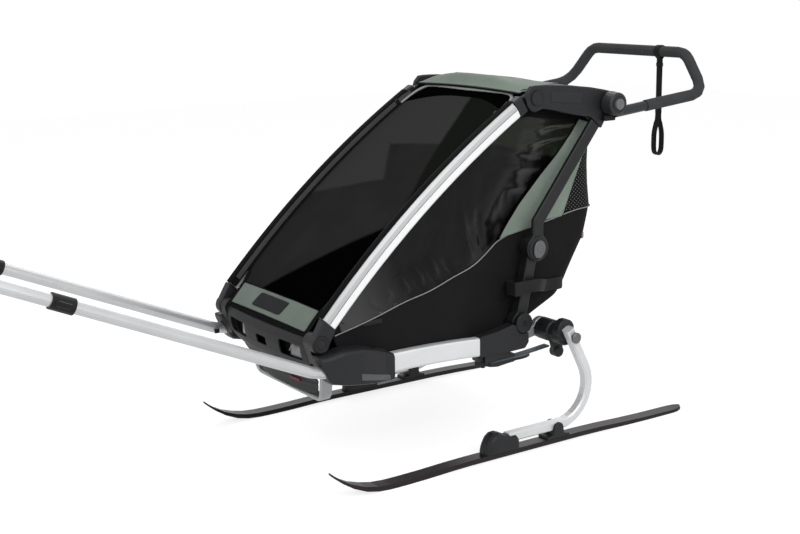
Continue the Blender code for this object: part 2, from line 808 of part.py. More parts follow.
def make_fold_lock(name, side, mats, parent):
    """Turning catch on the mid hinge: an oval dial with a thumb tail at the lower front."""
    face = FRAME_OUTER + MID_RIM_H + SEAT_GAP
    sides = 20
    tail = math.radians(-115.0)
    outline = []
    for i in range(sides):
        angle = 2 * math.pi * i / sides
        reach = DIAL_R + DIAL_TAIL * max(0.0, math.cos(angle - tail)) ** 3
        outline.append(MID_PIVOT + Vector((DIAL_SQUEEZE * reach * math.cos(angle), reach * math.sin(angle))))
    dial = piece(name, plate(outline, face, face + DIAL_THICK, side), mats["grey_plastic"], parent)
    soften(dial, 0.5 * EDGE_ROUND, 1)


def canopy_top(y):
    """Height of the roof's side edges at a given y."""
    s = smooth_step((y - TOP_PIVOT[0] + 0.03) / 0.27)
    edge = mix(TOP_PIVOT[1] + CANOPY_FRONT_RISE, HANDLE_PIVOT[1] + CANOPY_REAR_RISE, s)
    return edge + CANOPY_RISE * math.sin(math.pi * s)


def make_canopy(mats, parent):
    """Roof cloth between the beams, with a bowed and raised front edge."""
    rows = []
    steps = 8
    columns = 10
    for i in range(steps + 1):
        s = i / steps
        row = []
        for j in range(columns + 1):
            t = -1.0 + 2.0 * j / columns
            y = mix(TOP_PIVOT[0] - CANOPY_FRONT, TOP_PIVOT[0] + CANOPY_REAR, s)
            crown = mix(CANOPY_CROWN_FRONT, CANOPY_CROWN_REAR, smooth_step(s / 0.5))
            forward = CANOPY_BOW * (1.0 - t * t) * (1.0 - smooth_step(s / 0.8))
            edge_drop = CANOPY_EDGE_DROP * smooth_step((abs(t) - 0.85) / 0.15)
            row.append(Vector((t * CANOPY_HALF, y - forward, canopy_top(y) + crown * (1.0 - t * t) - edge_drop)))
        rows.append(row)
    piece("canopy", sheet(rows, CLOTH), mats["green_cloth"], parent)


# Handle

def handle_route():
    """Centre line of the handle tube from the left hub over the crossbar to the right hub."""
    corners = [HANDLE_START, HANDLE_CORNER, HANDLE_TOP]
    opposite = [Vector((-p.x, p.y, p.z)) for p in reversed(corners)]
    return rounded_route(corners + opposite, [HANDLE_BEND] * 4, 3)


def make_handlebar(mats, parent):
    route = handle_route()
    tube = loft(tube_rings(route, circle(HANDLE_TUBE_R, 10)))
    bar = piece("handlebar", tube, mats["handle_coat"], parent)
    inner = FRAME_OUTER + RUN_GAP
    profile = (
        (inner, HUB_R),
        (inner + 0.006, HUB_R + HUB_FLANGE),
        (inner + 0.016, HUB_R + HUB_FLANGE - 0.001),
        (HUB_OUTER - HUB_FLANGE, HUB_R),
        (HUB_OUTER, HUB_R - HUB_EDGE),
        (HUB_OUTER, HUB_BUTTON_R + SEAT_GAP),
        (HUB_OUTER - HUB_RECESS, HUB_BUTTON_R + SEAT_GAP),
    )
    for label, side in SIDES:
        hub = tool("hub_" + label, turned(HANDLE_PIVOT, profile, 24, side), parent)
        boolean(bar, hub, "UNION")


def make_handle_grip(mats, parent):
    """Foam sleeve over the handle tube, from one side tube round the crossbar to the other."""
    route = handle_route()
    start = HANDLE_PIVOT[0] + GRIP_START
    first = route[0].lerp(route[1], (start - route[0].y) / (route[1].y - route[0].y))
    last = Vector((-first.x, first.y, first.z))
    covered = [first] + route[1:-1] + [last]
    outer = tube_rings(covered, circle(GRIP_R, 10))
    inner = tube_rings(covered, circle(HANDLE_TUBE_R + SEAT_GAP, 10))
    piece("handle_grip", hollow_loft(outer, inner), mats["grip_foam"], parent)


def make_handle_button(name, side, mats, parent):
    base = HUB_OUTER - HUB_RECESS + SEAT_GAP + BUTTON_TRAVEL
    profile = (
        (base, HUB_BUTTON_R),
        (base + HUB_BUTTON_H, HUB_BUTTON_R),
        (base + HUB_BUTTON_H + HUB_BUTTON_LIP, HUB_BUTTON_R - HUB_BUTTON_LIP),
        (base + HUB_BUTTON_H + HUB_BUTTON_LIP, HUB_BUTTON_R - 4.0 * HUB_BUTTON_LIP),
        (base + HUB_BUTTON_H + 0.4 * HUB_BUTTON_LIP, HUB_BUTTON_R - 5.0 * HUB_BUTTON_LIP),
    )
    piece(name, turned(HANDLE_PIVOT, profile, 16, side), mats["grey_plastic"], parent)


def band(path, depth, x0, x1):
    """Strip of webbing that follows a closed loop in the side plane."""
    bm = bmesh.new()
    loops = []
    for share, x in ((0.5, x0), (0.5, x1), (-0.5, x1), (-0.5, x0)):
        loop = []
        for index, point in enumerate(path):
            along = (path[(index + 1) % len(path)] - path[index - 1]).normalized()
            place = point + Vector((-along[1], along[0])) * (depth * share)
            loop.append(bm.verts.new((x, place[0], place[1])))
        loops.append(loop)
    for first, second in zip(loops, loops[1:] + loops[:1]):
        for i in range(len(path)):
            j = (i + 1) % len(path)
            bm.faces.new((first[i], first[j], second[j], second[i]))
    return bm


def make_wrist_strap(mats, parent):
    """Webbing choked round the crossbar that hangs down and opens into a loop for the wrist."""
    centre = Vector((HANDLE_TOP.y, HANDLE_TOP.z))
    radius = STRAP_WRAP + 0.5 * STRAP_THICK
    low = -STRAP_DROP
    split = low + STRAP_LOOP
    neck = 0.5 * STRAP_THICK + 0.0008
    right = [
        Vector((neck, -1.25 * radius)),
        Vector((neck, split + 0.010)),
        Vector((mix(neck, STRAP_LOOP_HALF, 0.4), split - 0.018)),
        Vector((0.92 * STRAP_LOOP_HALF, split - 0.045)),
        Vector((STRAP_LOOP_HALF, split - 0.070)),
        Vector((0.94 * STRAP_LOOP_HALF, low + 0.018)),
        Vector((0.60 * STRAP_LOOP_HALF, low + 0.005)),
    ]
    path = arc((0.0, 0.0), radius, 240.0, -60.0, 15) + right + [Vector((0.0, low))]
    path += [Vector((-p[0], p[1])) for p in reversed(right)]
    path = [centre + p for p in path]
    x0 = STRAP_X - 0.5 * STRAP_W
    piece("wrist_strap", band(path, STRAP_THICK, x0, x0 + STRAP_W), mats["webbing"], parent)


# Lower struts

def make_lower_strut(name, side, mats, parent):
    """Inner link from the rear hinge, with an outward boss, up to the mid hinge."""
    direction = heading(REAR_PIVOT, MID_PIVOT)
    half = 0.5 * LOWER_STRUT_W
    low = math.degrees(math.asin(half / REAR_DISC_R))
    high = math.degrees(math.asin(half / MID_INNER_R))
    outline = arc(REAR_PIVOT, REAR_DISC_R, direction + low, direction + 360.0 - low, 14)
    outline += arc(MID_PIVOT, MID_INNER_R, direction + 180.0 + high, direction + 540.0 - high, 14)
    outer = STRUT_INNER - RUN_GAP
    strut = piece(name, plate(outline, LOWER_STRUT_INNER, outer, side), mats["black_plastic"], parent)
    soften(strut, EDGE_ROUND, 1)
    boss_r = REAR_DISC_R - 0.0005
    profile = (
        (outer - 0.005, boss_r - 0.0035),
        (outer + 0.001, boss_r),
        (FRAME_OUTER - 0.001, boss_r),
        (FRAME_OUTER + 0.001, boss_r - 0.002),
        (FRAME_OUTER + 0.001, REAR_DISH_R),
        (FRAME_OUTER - 0.001, REAR_DISH_R - 0.001),
    )
    boss = tool(name + "_boss", turned(REAR_PIVOT, profile, 24, side), parent)
    boolean(strut, boss, "UNION")


# Base frame

def make_rail(name, side, mats, parent):
    rings = []
    steps = 6
    for i in range(steps + 1):
        t = i / steps
        y = mix(RAIL_FRONT_Y, RAIL_REAR_Y, t)
        z = mix(RAIL_FRONT_Z, RAIL_REAR_Z, t) + RAIL_ARCH * 4.0 * t * (1.0 - t)
        half = 0.5 * RAIL_HEIGHT
        rings.append(upright_ring(y, FRAME_INNER, FRAME_OUTER, z - half, z + half, 0.006, side))
    piece(name, loft(rings), mats["aluminium"], parent, 25.0)


def arm_route():
    """Centre line of the left tow arm: its end in the socket, its bend, its front tip and its aim."""
    aim = (ARM_AIM - ARM_BEND).normalized()
    return ARM_SEAT, ARM_BEND, ARM_BEND + aim * ARM_LENGTH, aim


def slanted_ring(y, slant, x0, x1, z0, z1, corner, side):
    """Rounded rectangle that leans along Y by the slant for each metre of height."""
    ring = upright_ring(y, x0, x1, z0, z1, corner, side)
    middle = 0.5 * (z0 + z1)
    return [Vector((p.x, p.y - slant * (p.z - middle), p.z)) for p in ring]


def make_socket(name, side, mats, parent):
    """Pod that takes the tow arm, with an inner ear that carries the pillar's foot hinge."""
    rail_low = RAIL_FRONT_Z - 0.5 * RAIL_HEIGHT
    rail_high = RAIL_FRONT_Z + 0.5 * RAIL_HEIGHT
    rear = RAIL_FRONT_Y - SEAT_GAP
    stations = []
    for back, slant, inner, outer, bottom, top in POD_STATIONS:
        stations.append((POD_FRONT_Y + back, slant, POD_INNER + inner, POD_OUTER + outer,
                         POD_BOTTOM + bottom, POD_CREST + top))
    stations.append((rear, 0.0, POD_INNER, FRAME_OUTER + POD_END_PROUD, rail_low - POD_END_DROP,
                     rail_high + POD_END_RISE))
    rings = [slanted_ring(y, slant, x0, x1, z0, z1, POD_CORNER, side) for y, slant, x0, x1, z0, z1 in stations]
    pod = piece(name, loft(rings), mats["black_plastic"], parent, 30.0)
    ear_outer = FRAME_INNER + FOOT_INSET - RUN_GAP
    foot = Vector((FOOT_PIVOT[0] + POD_FOOT_Y, POD_BOTTOM + POD_FOOT_RISE))
    outline = arc(FOOT_PIVOT, FOOT_EAR_R, 180.0, 0.0, 10)
    outline += [foot + Vector((POD_FOOT_HALF, 0.0)), foot - Vector((POD_FOOT_HALF, 0.0))]
    ear = tool(name + "_ear", plate(outline, BUMPER_HALF + SEAT_GAP, ear_outer, side), parent)
    boolean(pod, ear, "UNION")
    end, bend, tip, aim = arm_route()
    inward = (end - bend).normalized()
    bore_route = mirrored([bend - inward * 2.0 * ARM_R, end + inward * SEAT_GAP], side)
    bore = tool(name + "_bore", loft(tube_rings(bore_route, circle(ARM_R + SEAT_GAP, 18))), parent)
    boolean(pod, bore, "DIFFERENCE")
    tab_y, tab_z = release_place()
    pocket_rings = [
        upright_ring(y, TAB_X - TAB_HALF - SEAT_GAP, TAB_X + TAB_HALF + SEAT_GAP, tab_z, tab_z + 0.05, 0.002, side)
        for y in (tab_y - TAB_LENGTH * 0.5 - SEAT_GAP, tab_y + TAB_LENGTH * 0.5 + SEAT_GAP)
    ]
    pocket = tool(name + "_pocket", loft(pocket_rings), parent)
    boolean(pod, pocket, "DIFFERENCE")


def release_place():
    """Middle of the release tab's pocket floor on the pod's sloping rear top, as (y, z)."""
    return POD_FRONT_Y + TAB_BACK, POD_CREST - TAB_DROP


def make_release_tab(name, side, mats, parent):
    tab_y, tab_z = release_place()
    base = tab_z + SEAT_GAP + TAB_TRAVEL
    rings = []
    for share, height in TAB_SHAPE:
        rings.append(upright_ring(tab_y + share * TAB_LENGTH, TAB_X - TAB_HALF, TAB_X + TAB_HALF,
                                  base, base + height, 0.0020, side))
    piece(name, loft(rings), mats["grey_plastic"], parent)


def make_rear_corner(name, side, mats, parent):
    """Rear end moulding of the base: it closes the rail and cradles the lower strut's boss."""
    rail_low = RAIL_REAR_Z - 0.5 * RAIL_HEIGHT
    rail_high = RAIL_REAR_Z + 0.5 * RAIL_HEIGHT
    front = RAIL_REAR_Y + SEAT_GAP
    seat_r = REAR_DISC_R + RUN_GAP
    outline = [
        Vector((front, rail_low - 0.003)),
        Vector((front, rail_high + 0.002)),
        Vector((mix(front, REAR_PIVOT[0], 0.45), rail_high + 0.8 * CORNER_SHOULDER)),
        Vector((REAR_PIVOT[0] - seat_r - CORNER_SHOULDER, REAR_PIVOT[1] + 0.003)),
        Vector((REAR_PIVOT[0] - seat_r - CORNER_PROUD, REAR_PIVOT[1] - 0.001)),
    ]
    outline += arc(REAR_PIVOT, seat_r, 184.0, 298.0, 10)
    outline += [
        Vector((CORNER_REAR_Y, CORNER_BOTTOM + CORNER_CHAMFER + 0.005)),
        Vector((CORNER_REAR_Y - CORNER_CHAMFER, CORNER_BOTTOM + 0.002)),
        Vector((mix(front, CORNER_REAR_Y, 0.45), CORNER_BOTTOM)),
    ]
    inner = BEAM_INNER + 0.001
    outer = FRAME_OUTER + CORNER_PROUD
    corner = piece(name, plate(outline, inner, outer, side), mats["black_plastic"], parent)
    soften(corner, EDGE_ROUND, 1)
    seat = LEAF_FRONT[1] + 0.5 * LEAF_THICK + SEAT_GAP
    block = [
        Vector((LEAF_FRONT[0] - 0.008, CORNER_BOTTOM + CORNER_SHOULDER)),
        Vector((LEAF_FRONT[0] - 0.008, seat)),
        Vector((LEAF_FRONT[0] + 0.030, seat + 0.001)),
        Vector((LEAF_FRONT[0] + 0.052, CORNER_BOTTOM + CORNER_SHOULDER)),
    ]
    mount = tool(name + "_mount", plate(block, inner + 0.001, FRAME_OUTER, side), parent)
    boolean(corner, mount, "UNION")


def make_rear_crosstube(mats, parent):
    reach = BEAM_INNER + 0.001 - SEAT_GAP
    profile = ((-reach, CROSSTUBE_R), (reach, CROSSTUBE_R))
    piece("rear_crosstube", turned(SWING_PIVOT, profile, 20), mats["aluminium"], parent)


def make_floor_tub(mats, parent):
    """Foot tub between the rails: a floor with a raised rim, open at the top."""
    outer = []
    inner = []
    for z, inset in ((TUB_FLOOR, TUB_CHINE), (TUB_FLOOR + TUB_CHINE, 0.0), (TUB_RIM, 0.0)):
        outer.append(tub_ring(z, inset))
        inner.append(tub_ring(max(z, TUB_FLOOR + TUB_WALL), inset + TUB_WALL))
    bm = loft(outer + list(reversed(inner)))
    piece("floor_tub", bm, mats["black_plastic"], parent)


def tub_ring(z, inset):
    half_y = 0.5 * (TUB_REAR_Y - TUB_FRONT_Y) - inset
    mid_y = 0.5 * (TUB_REAR_Y + TUB_FRONT_Y)
    outline = section(TUB_HALF - inset, half_y, TUB_CORNER - inset, 4)
    return [Vector((a, mid_y + b, z)) for a, b in outline]


# Front end

def bumper_point(t, level):
    """Point on the bumper's front skin: t runs -1 to 1 across, level is one row of the profile."""
    z, edge_y, share, bow = level
    y = edge_y - bow * (1.0 - abs(t) ** 2.2)
    return Vector((t * BUMPER_HALF * share, y, z))


def make_front_bumper(mats, parent):
    """Moulded bumper with three slots, a rolled top lip and ribs across its receding lower face."""
    rows = []
    columns = 12
    for index, level in enumerate(BUMPER_LEVELS):
        rib = RIB_DEPTH if index in BUMPER_RIBS else 0.0
        rows.append([bumper_point(-1.0 + 2.0 * j / columns, level) + Vector((0.0, rib, 0.0))
                     for j in range(columns + 1)])
    lip = [p + Vector((0.0, LIP_DEPTH, LIP_RISE)) for p in rows[0]]
    bumper = piece("front_bumper", sheet([lip] + rows, BUMPER_WALL), mats["black_plastic"], parent, 30.0)
    cut = SLOT_CORNER
    for index, (x0, x1, z0, z1) in enumerate(bumper_slots()):
        rings = []
        for y in (-0.06, 0.10):
            rings.append([
                Vector((x0 + cut, y, z0)),
                Vector((x1 - cut, y, z0)),
                Vector((x1, y, z0 + cut)),
                Vector((x1, y, z1 - cut)),
                Vector((x1 - cut, y, z1)),
                Vector((x0 + cut, y, z1)),
                Vector((x0, y, z1 - cut)),
                Vector((x0, y, z0 + cut)),
            ])
        cutter = tool("slot_%d" % (index + 1), loft(rings), parent)
        boolean(bumper, cutter, "DIFFERENCE")


def bumper_slots():
    """The two large slots and the small middle one, as (x0, x1, z0, z1)."""
    return (
        (SLOT_NEAR_X, SLOT_FAR_X, SLOT_LOW, SLOT_HIGH),
        (-SLOT_MIDDLE_HALF, SLOT_MIDDLE_HALF, SLOT_LOW + SLOT_CORNER, SLOT_HIGH - 3.0 * SLOT_CORNER),
        (-SLOT_FAR_X, -SLOT_NEAR_X, SLOT_LOW, SLOT_HIGH),
    )


def make_front_hoop(mats, parent):
    """Flat strap that runs from one socket down round the bumper's lower edge and up to the other."""
    root = Vector((POD_INNER - SEAT_GAP, HOOP_TOP.y, HOOP_TOP.z))
    side_run = [root, HOOP_TOP, HOOP_LOW]
    corners = side_run + [Vector((-p.x, p.y, p.z)) for p in reversed(side_run)]
    bends = [HOOP_TOP_BEND, HOOP_LOW_BEND, HOOP_LOW_BEND, HOOP_TOP_BEND]
    route = rounded_route(corners, bends, 4)
    outline = section(HOOP_HALF_W, HOOP_HALF_T, 0.003, 1)
    rings = tube_rings(route, outline, Vector((0.0, 1.0, 0.0)))
    piece("front_hoop", loft(rings), mats["aluminium"], parent)


# Tow arms

def mirrored(points, side):
    return [Vector((side * p.x, p.y, p.z)) for p in points]


def make_tow_arm(name, side, mats, parent):
    end, bend, tip, aim = arm_route()
    joint = bend + aim * ARM_JOINT
    route = mirrored(rounded_route([end, bend, joint], [ARM_BEND_R], 6), side)
    piece(name, loft(tube_rings(route, circle(ARM_R, 16))), mats["aluminium"], parent)


def make_tow_tip(name, side, mats, parent):
    end, bend, tip, aim = arm_route()
    joint = bend + aim * (ARM_JOINT + SEAT_GAP)
    route = mirrored([joint, tip], side)
    piece(name, loft(tube_rings(route, circle(ARM_R, 16))), mats["aluminium"], parent)


def make_pole_clip(name, side, mats, parent):
    """Moulded sleeve that locks the two halves of a tow arm, with a lug along its outer side."""
    end, bend, tip, aim = arm_route()
    middle = bend + aim * ARM_JOINT
    half = 0.5 * CLIP_LENGTH
    route = mirrored([middle - aim * half, middle + aim * half], side)
    outer = tube_rings(route, circle(CLIP_R, 16))
    inner = tube_rings(route, circle(ARM_R + SEAT_GAP, 16))
    clip = piece(name, hollow_loft(outer, inner), mats["black_plastic"], parent)
    outward = Vector((1.0, 0.0, 0.0))
    outward = (outward - aim * outward.dot(aim)).normalized()
    upward = aim.cross(outward).normalized()
    lug_rings = []
    for share, half_h, depth in LUG_SHAPE:
        base = middle + aim * half * share + outward * (CLIP_R - LUG_SINK)
        ring = [
            base - upward * half_h,
            base + outward * depth - upward * half_h * 0.7,
            base + outward * depth + upward * half_h * 0.7,
            base + upward * half_h,
        ]
        lug_rings.append(mirrored(ring, side))
    lug = tool(name + "_lug", loft(lug_rings), parent)
    boolean(clip, lug, "UNION")


def make_arm_pin(name, side, mats, parent):
    """Webbing tether of the arm's locking pin: it lies on the arm's inner side in front of the pod."""
    x = ARM_BEND.x - ARM_R - SEAT_GAP - 0.5 * PIN_THICK
    outline = section(0.5 * PIN_THICK, 0.5 * PIN_WIDTH, 0.0008, 1)
    piece(name, loft(rings_yz(PIN_PATH, x, outline, side)), mats["webbing"], parent)


# Suspension

def make_swing_arm(name, side, mats, parent):
    """Plate that turns on the rear crosstube and carries the axle hub."""
    direction = heading(SWING_PIVOT, AXLE)
    half = 0.5 * SWING_BAR
    low = math.degrees(math.asin(half / SWING_EYE_R))
    high = math.degrees(math.asin(half / SWING_END_R))
    outline = arc(SWING_PIVOT, SWING_EYE_R, direction + low, direction + 360.0 - low, 14)
    outline += arc(AXLE, SWING_END_R, direction + 180.0 + high, direction + 540.0 - high, 16)
    outer = SWING_INNER + SWING_THICK
    arm = piece(name, plate(outline, SWING_INNER, outer, side), mats["aluminium"], parent)
    soften(arm, 0.0020, 1)
    bore_r = CROSSTUBE_R + RUN_GAP
    bore_profile = ((SWING_INNER - 0.01, bore_r), (outer + 0.01, bore_r))
    bore = tool(name + "_bore", turned(SWING_PIVOT, bore_profile, 20, side), parent)
    boolean(arm, bore, "DIFFERENCE")


def make_axle_hub(name, side, mats, parent):
    """Barrel on the axle, with a web below it that ends in a small round stop."""
    inner = SWING_INNER + SWING_THICK + SEAT_GAP
    outer = HALF_TRACK - AXLE_HUB_BACK
    profile = (
        (inner, AXLE_HUB_R - 0.003),
        (inner + 0.003, AXLE_HUB_R),
        (mix(inner, outer, 0.50), AXLE_HUB_R),
        (mix(inner, outer, 0.53), AXLE_HUB_R - AXLE_HUB_STEP),
        (mix(inner, outer, 0.60), AXLE_HUB_R - AXLE_HUB_STEP),
        (mix(inner, outer, 0.63), AXLE_HUB_R - 0.001),
        (outer - 0.003, AXLE_HUB_R - 0.001),
        (outer, AXLE_HUB_R - AXLE_HUB_STEP),
    )
    hub = piece(name, turned(AXLE, profile, 18, side), mats["black_plastic"], parent)
    stop_centre = AXLE + HUB_STOP
    stop_r = HUB_STOP_R
    direction = heading(stop_centre, AXLE)
    web_outline = arc(stop_centre, stop_r - 0.001, direction + 90.0, direction + 270.0, 8)
    web_outline += arc(AXLE, AXLE_HUB_R - 0.008, direction - 90.0, direction + 90.0, 8)
    web_face = mix(inner, outer, 0.46)
    web = tool(name + "_web", plate(web_outline, web_face, web_face + HUB_WEB, side), parent)
    stop_profile = (
        (web_face - HUB_WEB, stop_r - AXLE_HUB_STEP),
        (web_face - 0.75 * HUB_WEB, stop_r),
        (web_face + 1.2 * HUB_WEB, stop_r),
        (web_face + 1.5 * HUB_WEB, stop_r - 1.5 * AXLE_HUB_STEP),
    )
    stop = tool(name + "_stop", turned(stop_centre, stop_profile, 16, side), parent)
    crown_face = HALF_TRACK - 0.5 * SKI_ARM_W - SEAT_GAP
    crown_profile = (
        (crown_face - HUB_CROWN_LENGTH, AXLE_HUB_R - 2.0 * AXLE_HUB_STEP),
        (crown_face - HUB_CROWN_LENGTH + AXLE_HUB_STEP, AXLE_HUB_R - 0.001),
        (crown_face - 0.003, AXLE_HUB_R - 0.001),
        (crown_face, AXLE_HUB_R - AXLE_HUB_STEP),
    )
    crown = tool(name + "_crown", turned(AXLE + HUB_CROWN, crown_profile, 18, side), parent)
    boolean(hub, web, "UNION")
    boolean(hub, stop, "UNION")
    boolean(hub, crown, "UNION")


def leaf_path():
    steps = 8
    points = []
    for i in range(steps + 1):
        t = i / steps
        points.append(LEAF_FRONT.lerp(LEAF_REAR, t) - Vector((0.0, LEAF_SAG * math.sin(math.pi * t))))
    return points


def make_leaf_spring(name, side, mats, parent):
    x = 0.5 * (BEAM_INNER + FRAME_OUTER)
    outline = section(0.5 * LEAF_W, 0.5 * LEAF_THICK, 0.0015, 1)
    piece(name, loft(rings_yz(leaf_path(), x, outline, side)), mats["spring_steel"], parent)


def make_axle_button(name, side, mats, parent):
    stem = HALF_TRACK - 0.5 * SKI_ARM_W + KNOB_TRAVEL + SEAT_GAP
    base = HALF_TRACK + 0.5 * SKI_ARM_W + KNOB_TRAVEL + SEAT_GAP
    profile = (
        (stem, KNOB_STEM_R),
        (base, KNOB_STEM_R),
        (base, KNOB_R - 0.002),
        (base + 0.002, KNOB_R),
        (base + KNOB_H - 0.002, KNOB_R),
        (base + KNOB_H, KNOB_R - 0.003),
        (base + KNOB_H, 0.006),
        (base + KNOB_H - 0.001, 0.005),
    )
    piece(name, turned(AXLE, profile, 16, side), mats["aluminium"], parent)


# Ski kit

def ski_arm_path():
    """Centre line of a ski arm: straight from the axle, round the rear bulge, forwards along the ski."""
    radius = 0.43 * (AXLE[1] - SKI_ARM_FOOT_Z)
    centre = Vector((SKI_ARM_BULGE_Y - radius, SKI_ARM_FOOT_Z + radius))
    offset = AXLE - centre
    base = math.degrees(math.atan2(offset[1], offset[0]))
    tangent = base - math.degrees(math.acos(radius / offset.length))
    touch = polar(centre, radius, tangent)
    upward = (AXLE - touch).normalized()
    path = [AXLE + upward * SKI_ARM_TOP, AXLE.copy()]
    path += arc(centre, radius, tangent, -90.0, 12)
    path.append(Vector((SKI_ARM_FOOT_Y, SKI_ARM_FOOT_Z)))
    return path


def make_ski_arm(name, side, mats, parent):
    outline = section(0.5 * SKI_ARM_W, 0.5 * SKI_ARM_DEPTH, 0.004, 1)
    rings = rings_yz(ski_arm_path(), HALF_TRACK, outline, side)
    arm = piece(name, loft(rings), mats["aluminium"], parent, 25.0)
    reach = 0.5 * SKI_ARM_W + 0.01
    bore_profile = ((HALF_TRACK - reach, KNOB_STEM_R + SEAT_GAP), (HALF_TRACK + reach, KNOB_STEM_R + SEAT_GAP))
    bore = tool(name + "_bore", turned(AXLE, bore_profile, 16, side), parent)
    boolean(arm, bore, "DIFFERENCE")


def ski_rise(y):
    """Height of the sole above the floor: curved shovel, flat contact patches, arched middle and tail."""
    if y < SKI_SHOVEL:
        return SKI_TIP_RISE * (1.0 - y / SKI_SHOVEL) ** 2.7
    if y < SKI_CAMBER_FULL:
        return SKI_CAMBER * smooth_step((y - SKI_CAMBER_START) / (SKI_CAMBER_FULL - SKI_CAMBER_START))
    if y < SKI_CAMBER_END:
        return SKI_CAMBER * (1.0 - smooth_step((y - SKI_CAMBER_FADE) / (SKI_CAMBER_END - SKI_CAMBER_FADE)))
    tail = SKI_LENGTH - SKI_TAIL
    return SKI_TAIL_RISE * max(0.0, (y - tail) / SKI_TAIL) ** 2


def ski_half(y):
    """Half width of the ski: pointed at the front, drawn in at the waist, rounded at the tail."""
    half = 0.5 * SKI_WIDTH * (1.0 - 0.06 * math.sin(math.pi * y / SKI_LENGTH))
    half *= min(1.0, math.sqrt(y / SKI_TIP_LENGTH))
    tail = max(0.0, (y - SKI_LENGTH + SKI_TAIL) / SKI_TAIL)
    half *= math.sqrt(1.0 - 0.96 * tail ** 2)
    return max(0.0030, half)


def make_ski(name, side, mats, parent):
    """Narrow ski with a pointed shovel, bevelled top edges and a slight camber."""
    tail = SKI_LENGTH - SKI_TAIL
    stations = [0.0, 0.004, 0.014, 0.032, 0.060, 0.095, 0.130, 0.165, SKI_SHOVEL, SKI_CAMBER_START, 0.28, 0.36,
                SKI_CAMBER_FULL, 0.60, SKI_CAMBER_FADE, 0.88, 0.97, SKI_CAMBER_END, tail,
                tail + 0.4 * SKI_TAIL, tail + 0.75 * SKI_TAIL, tail + 0.93 * SKI_TAIL, SKI_LENGTH]
    rings = []
    for y in stations:
        half = ski_half(y)
        thick = SKI_THICK * min(1.0, 0.45 + y / 0.16)
        thick *= 1.0 - 0.35 * smooth_step((y - SKI_CAMBER_FADE) / (SKI_LENGTH - SKI_CAMBER_FADE))
        low = ski_rise(y)
        edge = 0.35 * thick
        bevel = min(0.0035, 0.6 * half)
        ring = [
            (-half, low), (half, low), (half, low + edge), (half - bevel, low + thick),
            (-half + bevel, low + thick), (-half, low + edge),
        ]
        rings.append([Vector((side * (HALF_TRACK + a), y, z)) for a, z in ring])
    piece(name, loft(rings), mats["ski_top"], parent, 25.0)


def foot_slot(name, y0, y1, side, parent):
    """Cutter that opens a bracket for the ski arm's foot."""
    half = 0.5 * SKI_ARM_W + SEAT_GAP
    floor = SKI_ARM_FOOT_Z - 0.5 * SKI_ARM_DEPTH - SEAT_GAP
    rings = [upright_ring(y, HALF_TRACK - half, HALF_TRACK + half, floor, floor + 0.08, 0.0035, side)
             for y in (y0, y1)]
    return tool(name + "_slot", loft(rings), parent)


def make_front_bracket(name, side, mats, parent):
    """Fairing on the ski, rounded in plan at its nose, with a slot behind that takes the arm's foot."""
    base = SKI_CAMBER + SKI_THICK + SEAT_GAP
    length = FRONT_BRACKET_END - FRONT_BRACKET_Y
    rings = []
    for share, width, height in FRONT_BRACKET_SHAPE:
        half = BRACKET_HALF * width
        top = FRONT_BRACKET_RISE * height
        corner = min(FRONT_BRACKET_CORNER, 0.45 * top, 0.6 * half)
        y = FRONT_BRACKET_Y + share * length
        ring = [
            (-half, 0.0), (half, 0.0), (half, top - corner), (half - 0.3 * corner, top - 0.3 * corner),
            (half - corner, top), (-half + corner, top), (-half + 0.3 * corner, top - 0.3 * corner),
            (-half, top - corner),
        ]
        rings.append([Vector((side * (HALF_TRACK + a), y, base + b)) for a, b in ring])
    bracket = piece(name, loft(rings), mats["black_plastic"], parent)
    slot = foot_slot(name, SKI_ARM_FOOT_Y - SEAT_GAP, FRONT_BRACKET_END + SKI_ARM_W, side, parent)
    boolean(bracket, slot, "DIFFERENCE")


def make_rear_bracket(name, side, mats, parent):
    """Saddle on the ski whose two round cheeks hold the ski arm's foot with a cross bolt."""
    base = SKI_CAMBER + SKI_THICK + SEAT_GAP
    centre = Vector((REAR_BRACKET_Y, SKI_ARM_FOOT_Z - REAR_BRACKET_DROP))
    reach = REAR_BRACKET_REACH
    shoulder = REAR_BRACKET_R + 0.002
    outline = [
        Vector((REAR_BRACKET_Y - reach, base)),
        Vector((REAR_BRACKET_Y - reach + 0.002, base + REAR_BRACKET_FLANGE)),
        Vector((REAR_BRACKET_Y - shoulder, base + REAR_BRACKET_FLANGE + 0.004)),
    ]
    outline += arc(centre, REAR_BRACKET_R, 178.0, 2.0, 10)
    outline += [
        Vector((REAR_BRACKET_Y + shoulder, base + REAR_BRACKET_FLANGE + 0.004)),
        Vector((REAR_BRACKET_Y + reach - 0.002, base + REAR_BRACKET_FLANGE)),
        Vector((REAR_BRACKET_Y + reach, base)),
    ]
    x0 = HALF_TRACK - BRACKET_HALF
    x1 = HALF_TRACK + BRACKET_HALF
    bracket = piece(name, plate(outline, x0, x1, side), mats["black_plastic"], parent)
    soften(bracket, 0.5 * EDGE_ROUND, 1)
    slot = foot_slot(name, REAR_BRACKET_Y - 1.5 * reach, REAR_BRACKET_Y + 1.5 * reach, side, parent)
    boolean(bracket, slot, "DIFFERENCE")


# Soft parts on the base

def strut_line(z):
    """Y of the struts' centre line at a height."""
    stops = (REAR_PIVOT, MID_PIVOT, STRUT_KNEE, STRUT_SEAT)
    for low, high in zip(stops, stops[1:]):
        if z < high[1]:
            return mix(low[0], high[0], (z - low[1]) / (high[1] - low[1]))
    return STRUT_SEAT[0]


def side_x(y, z):
    """Outer face of a side cover: out at the pillar and rail, drawn in where it meets the struts."""
    near_strut = smooth_step((y - strut_line(z) + 0.24) / 0.19)
    return mix(SIDE_OUTER, SIDE_STRUT_X, near_strut)


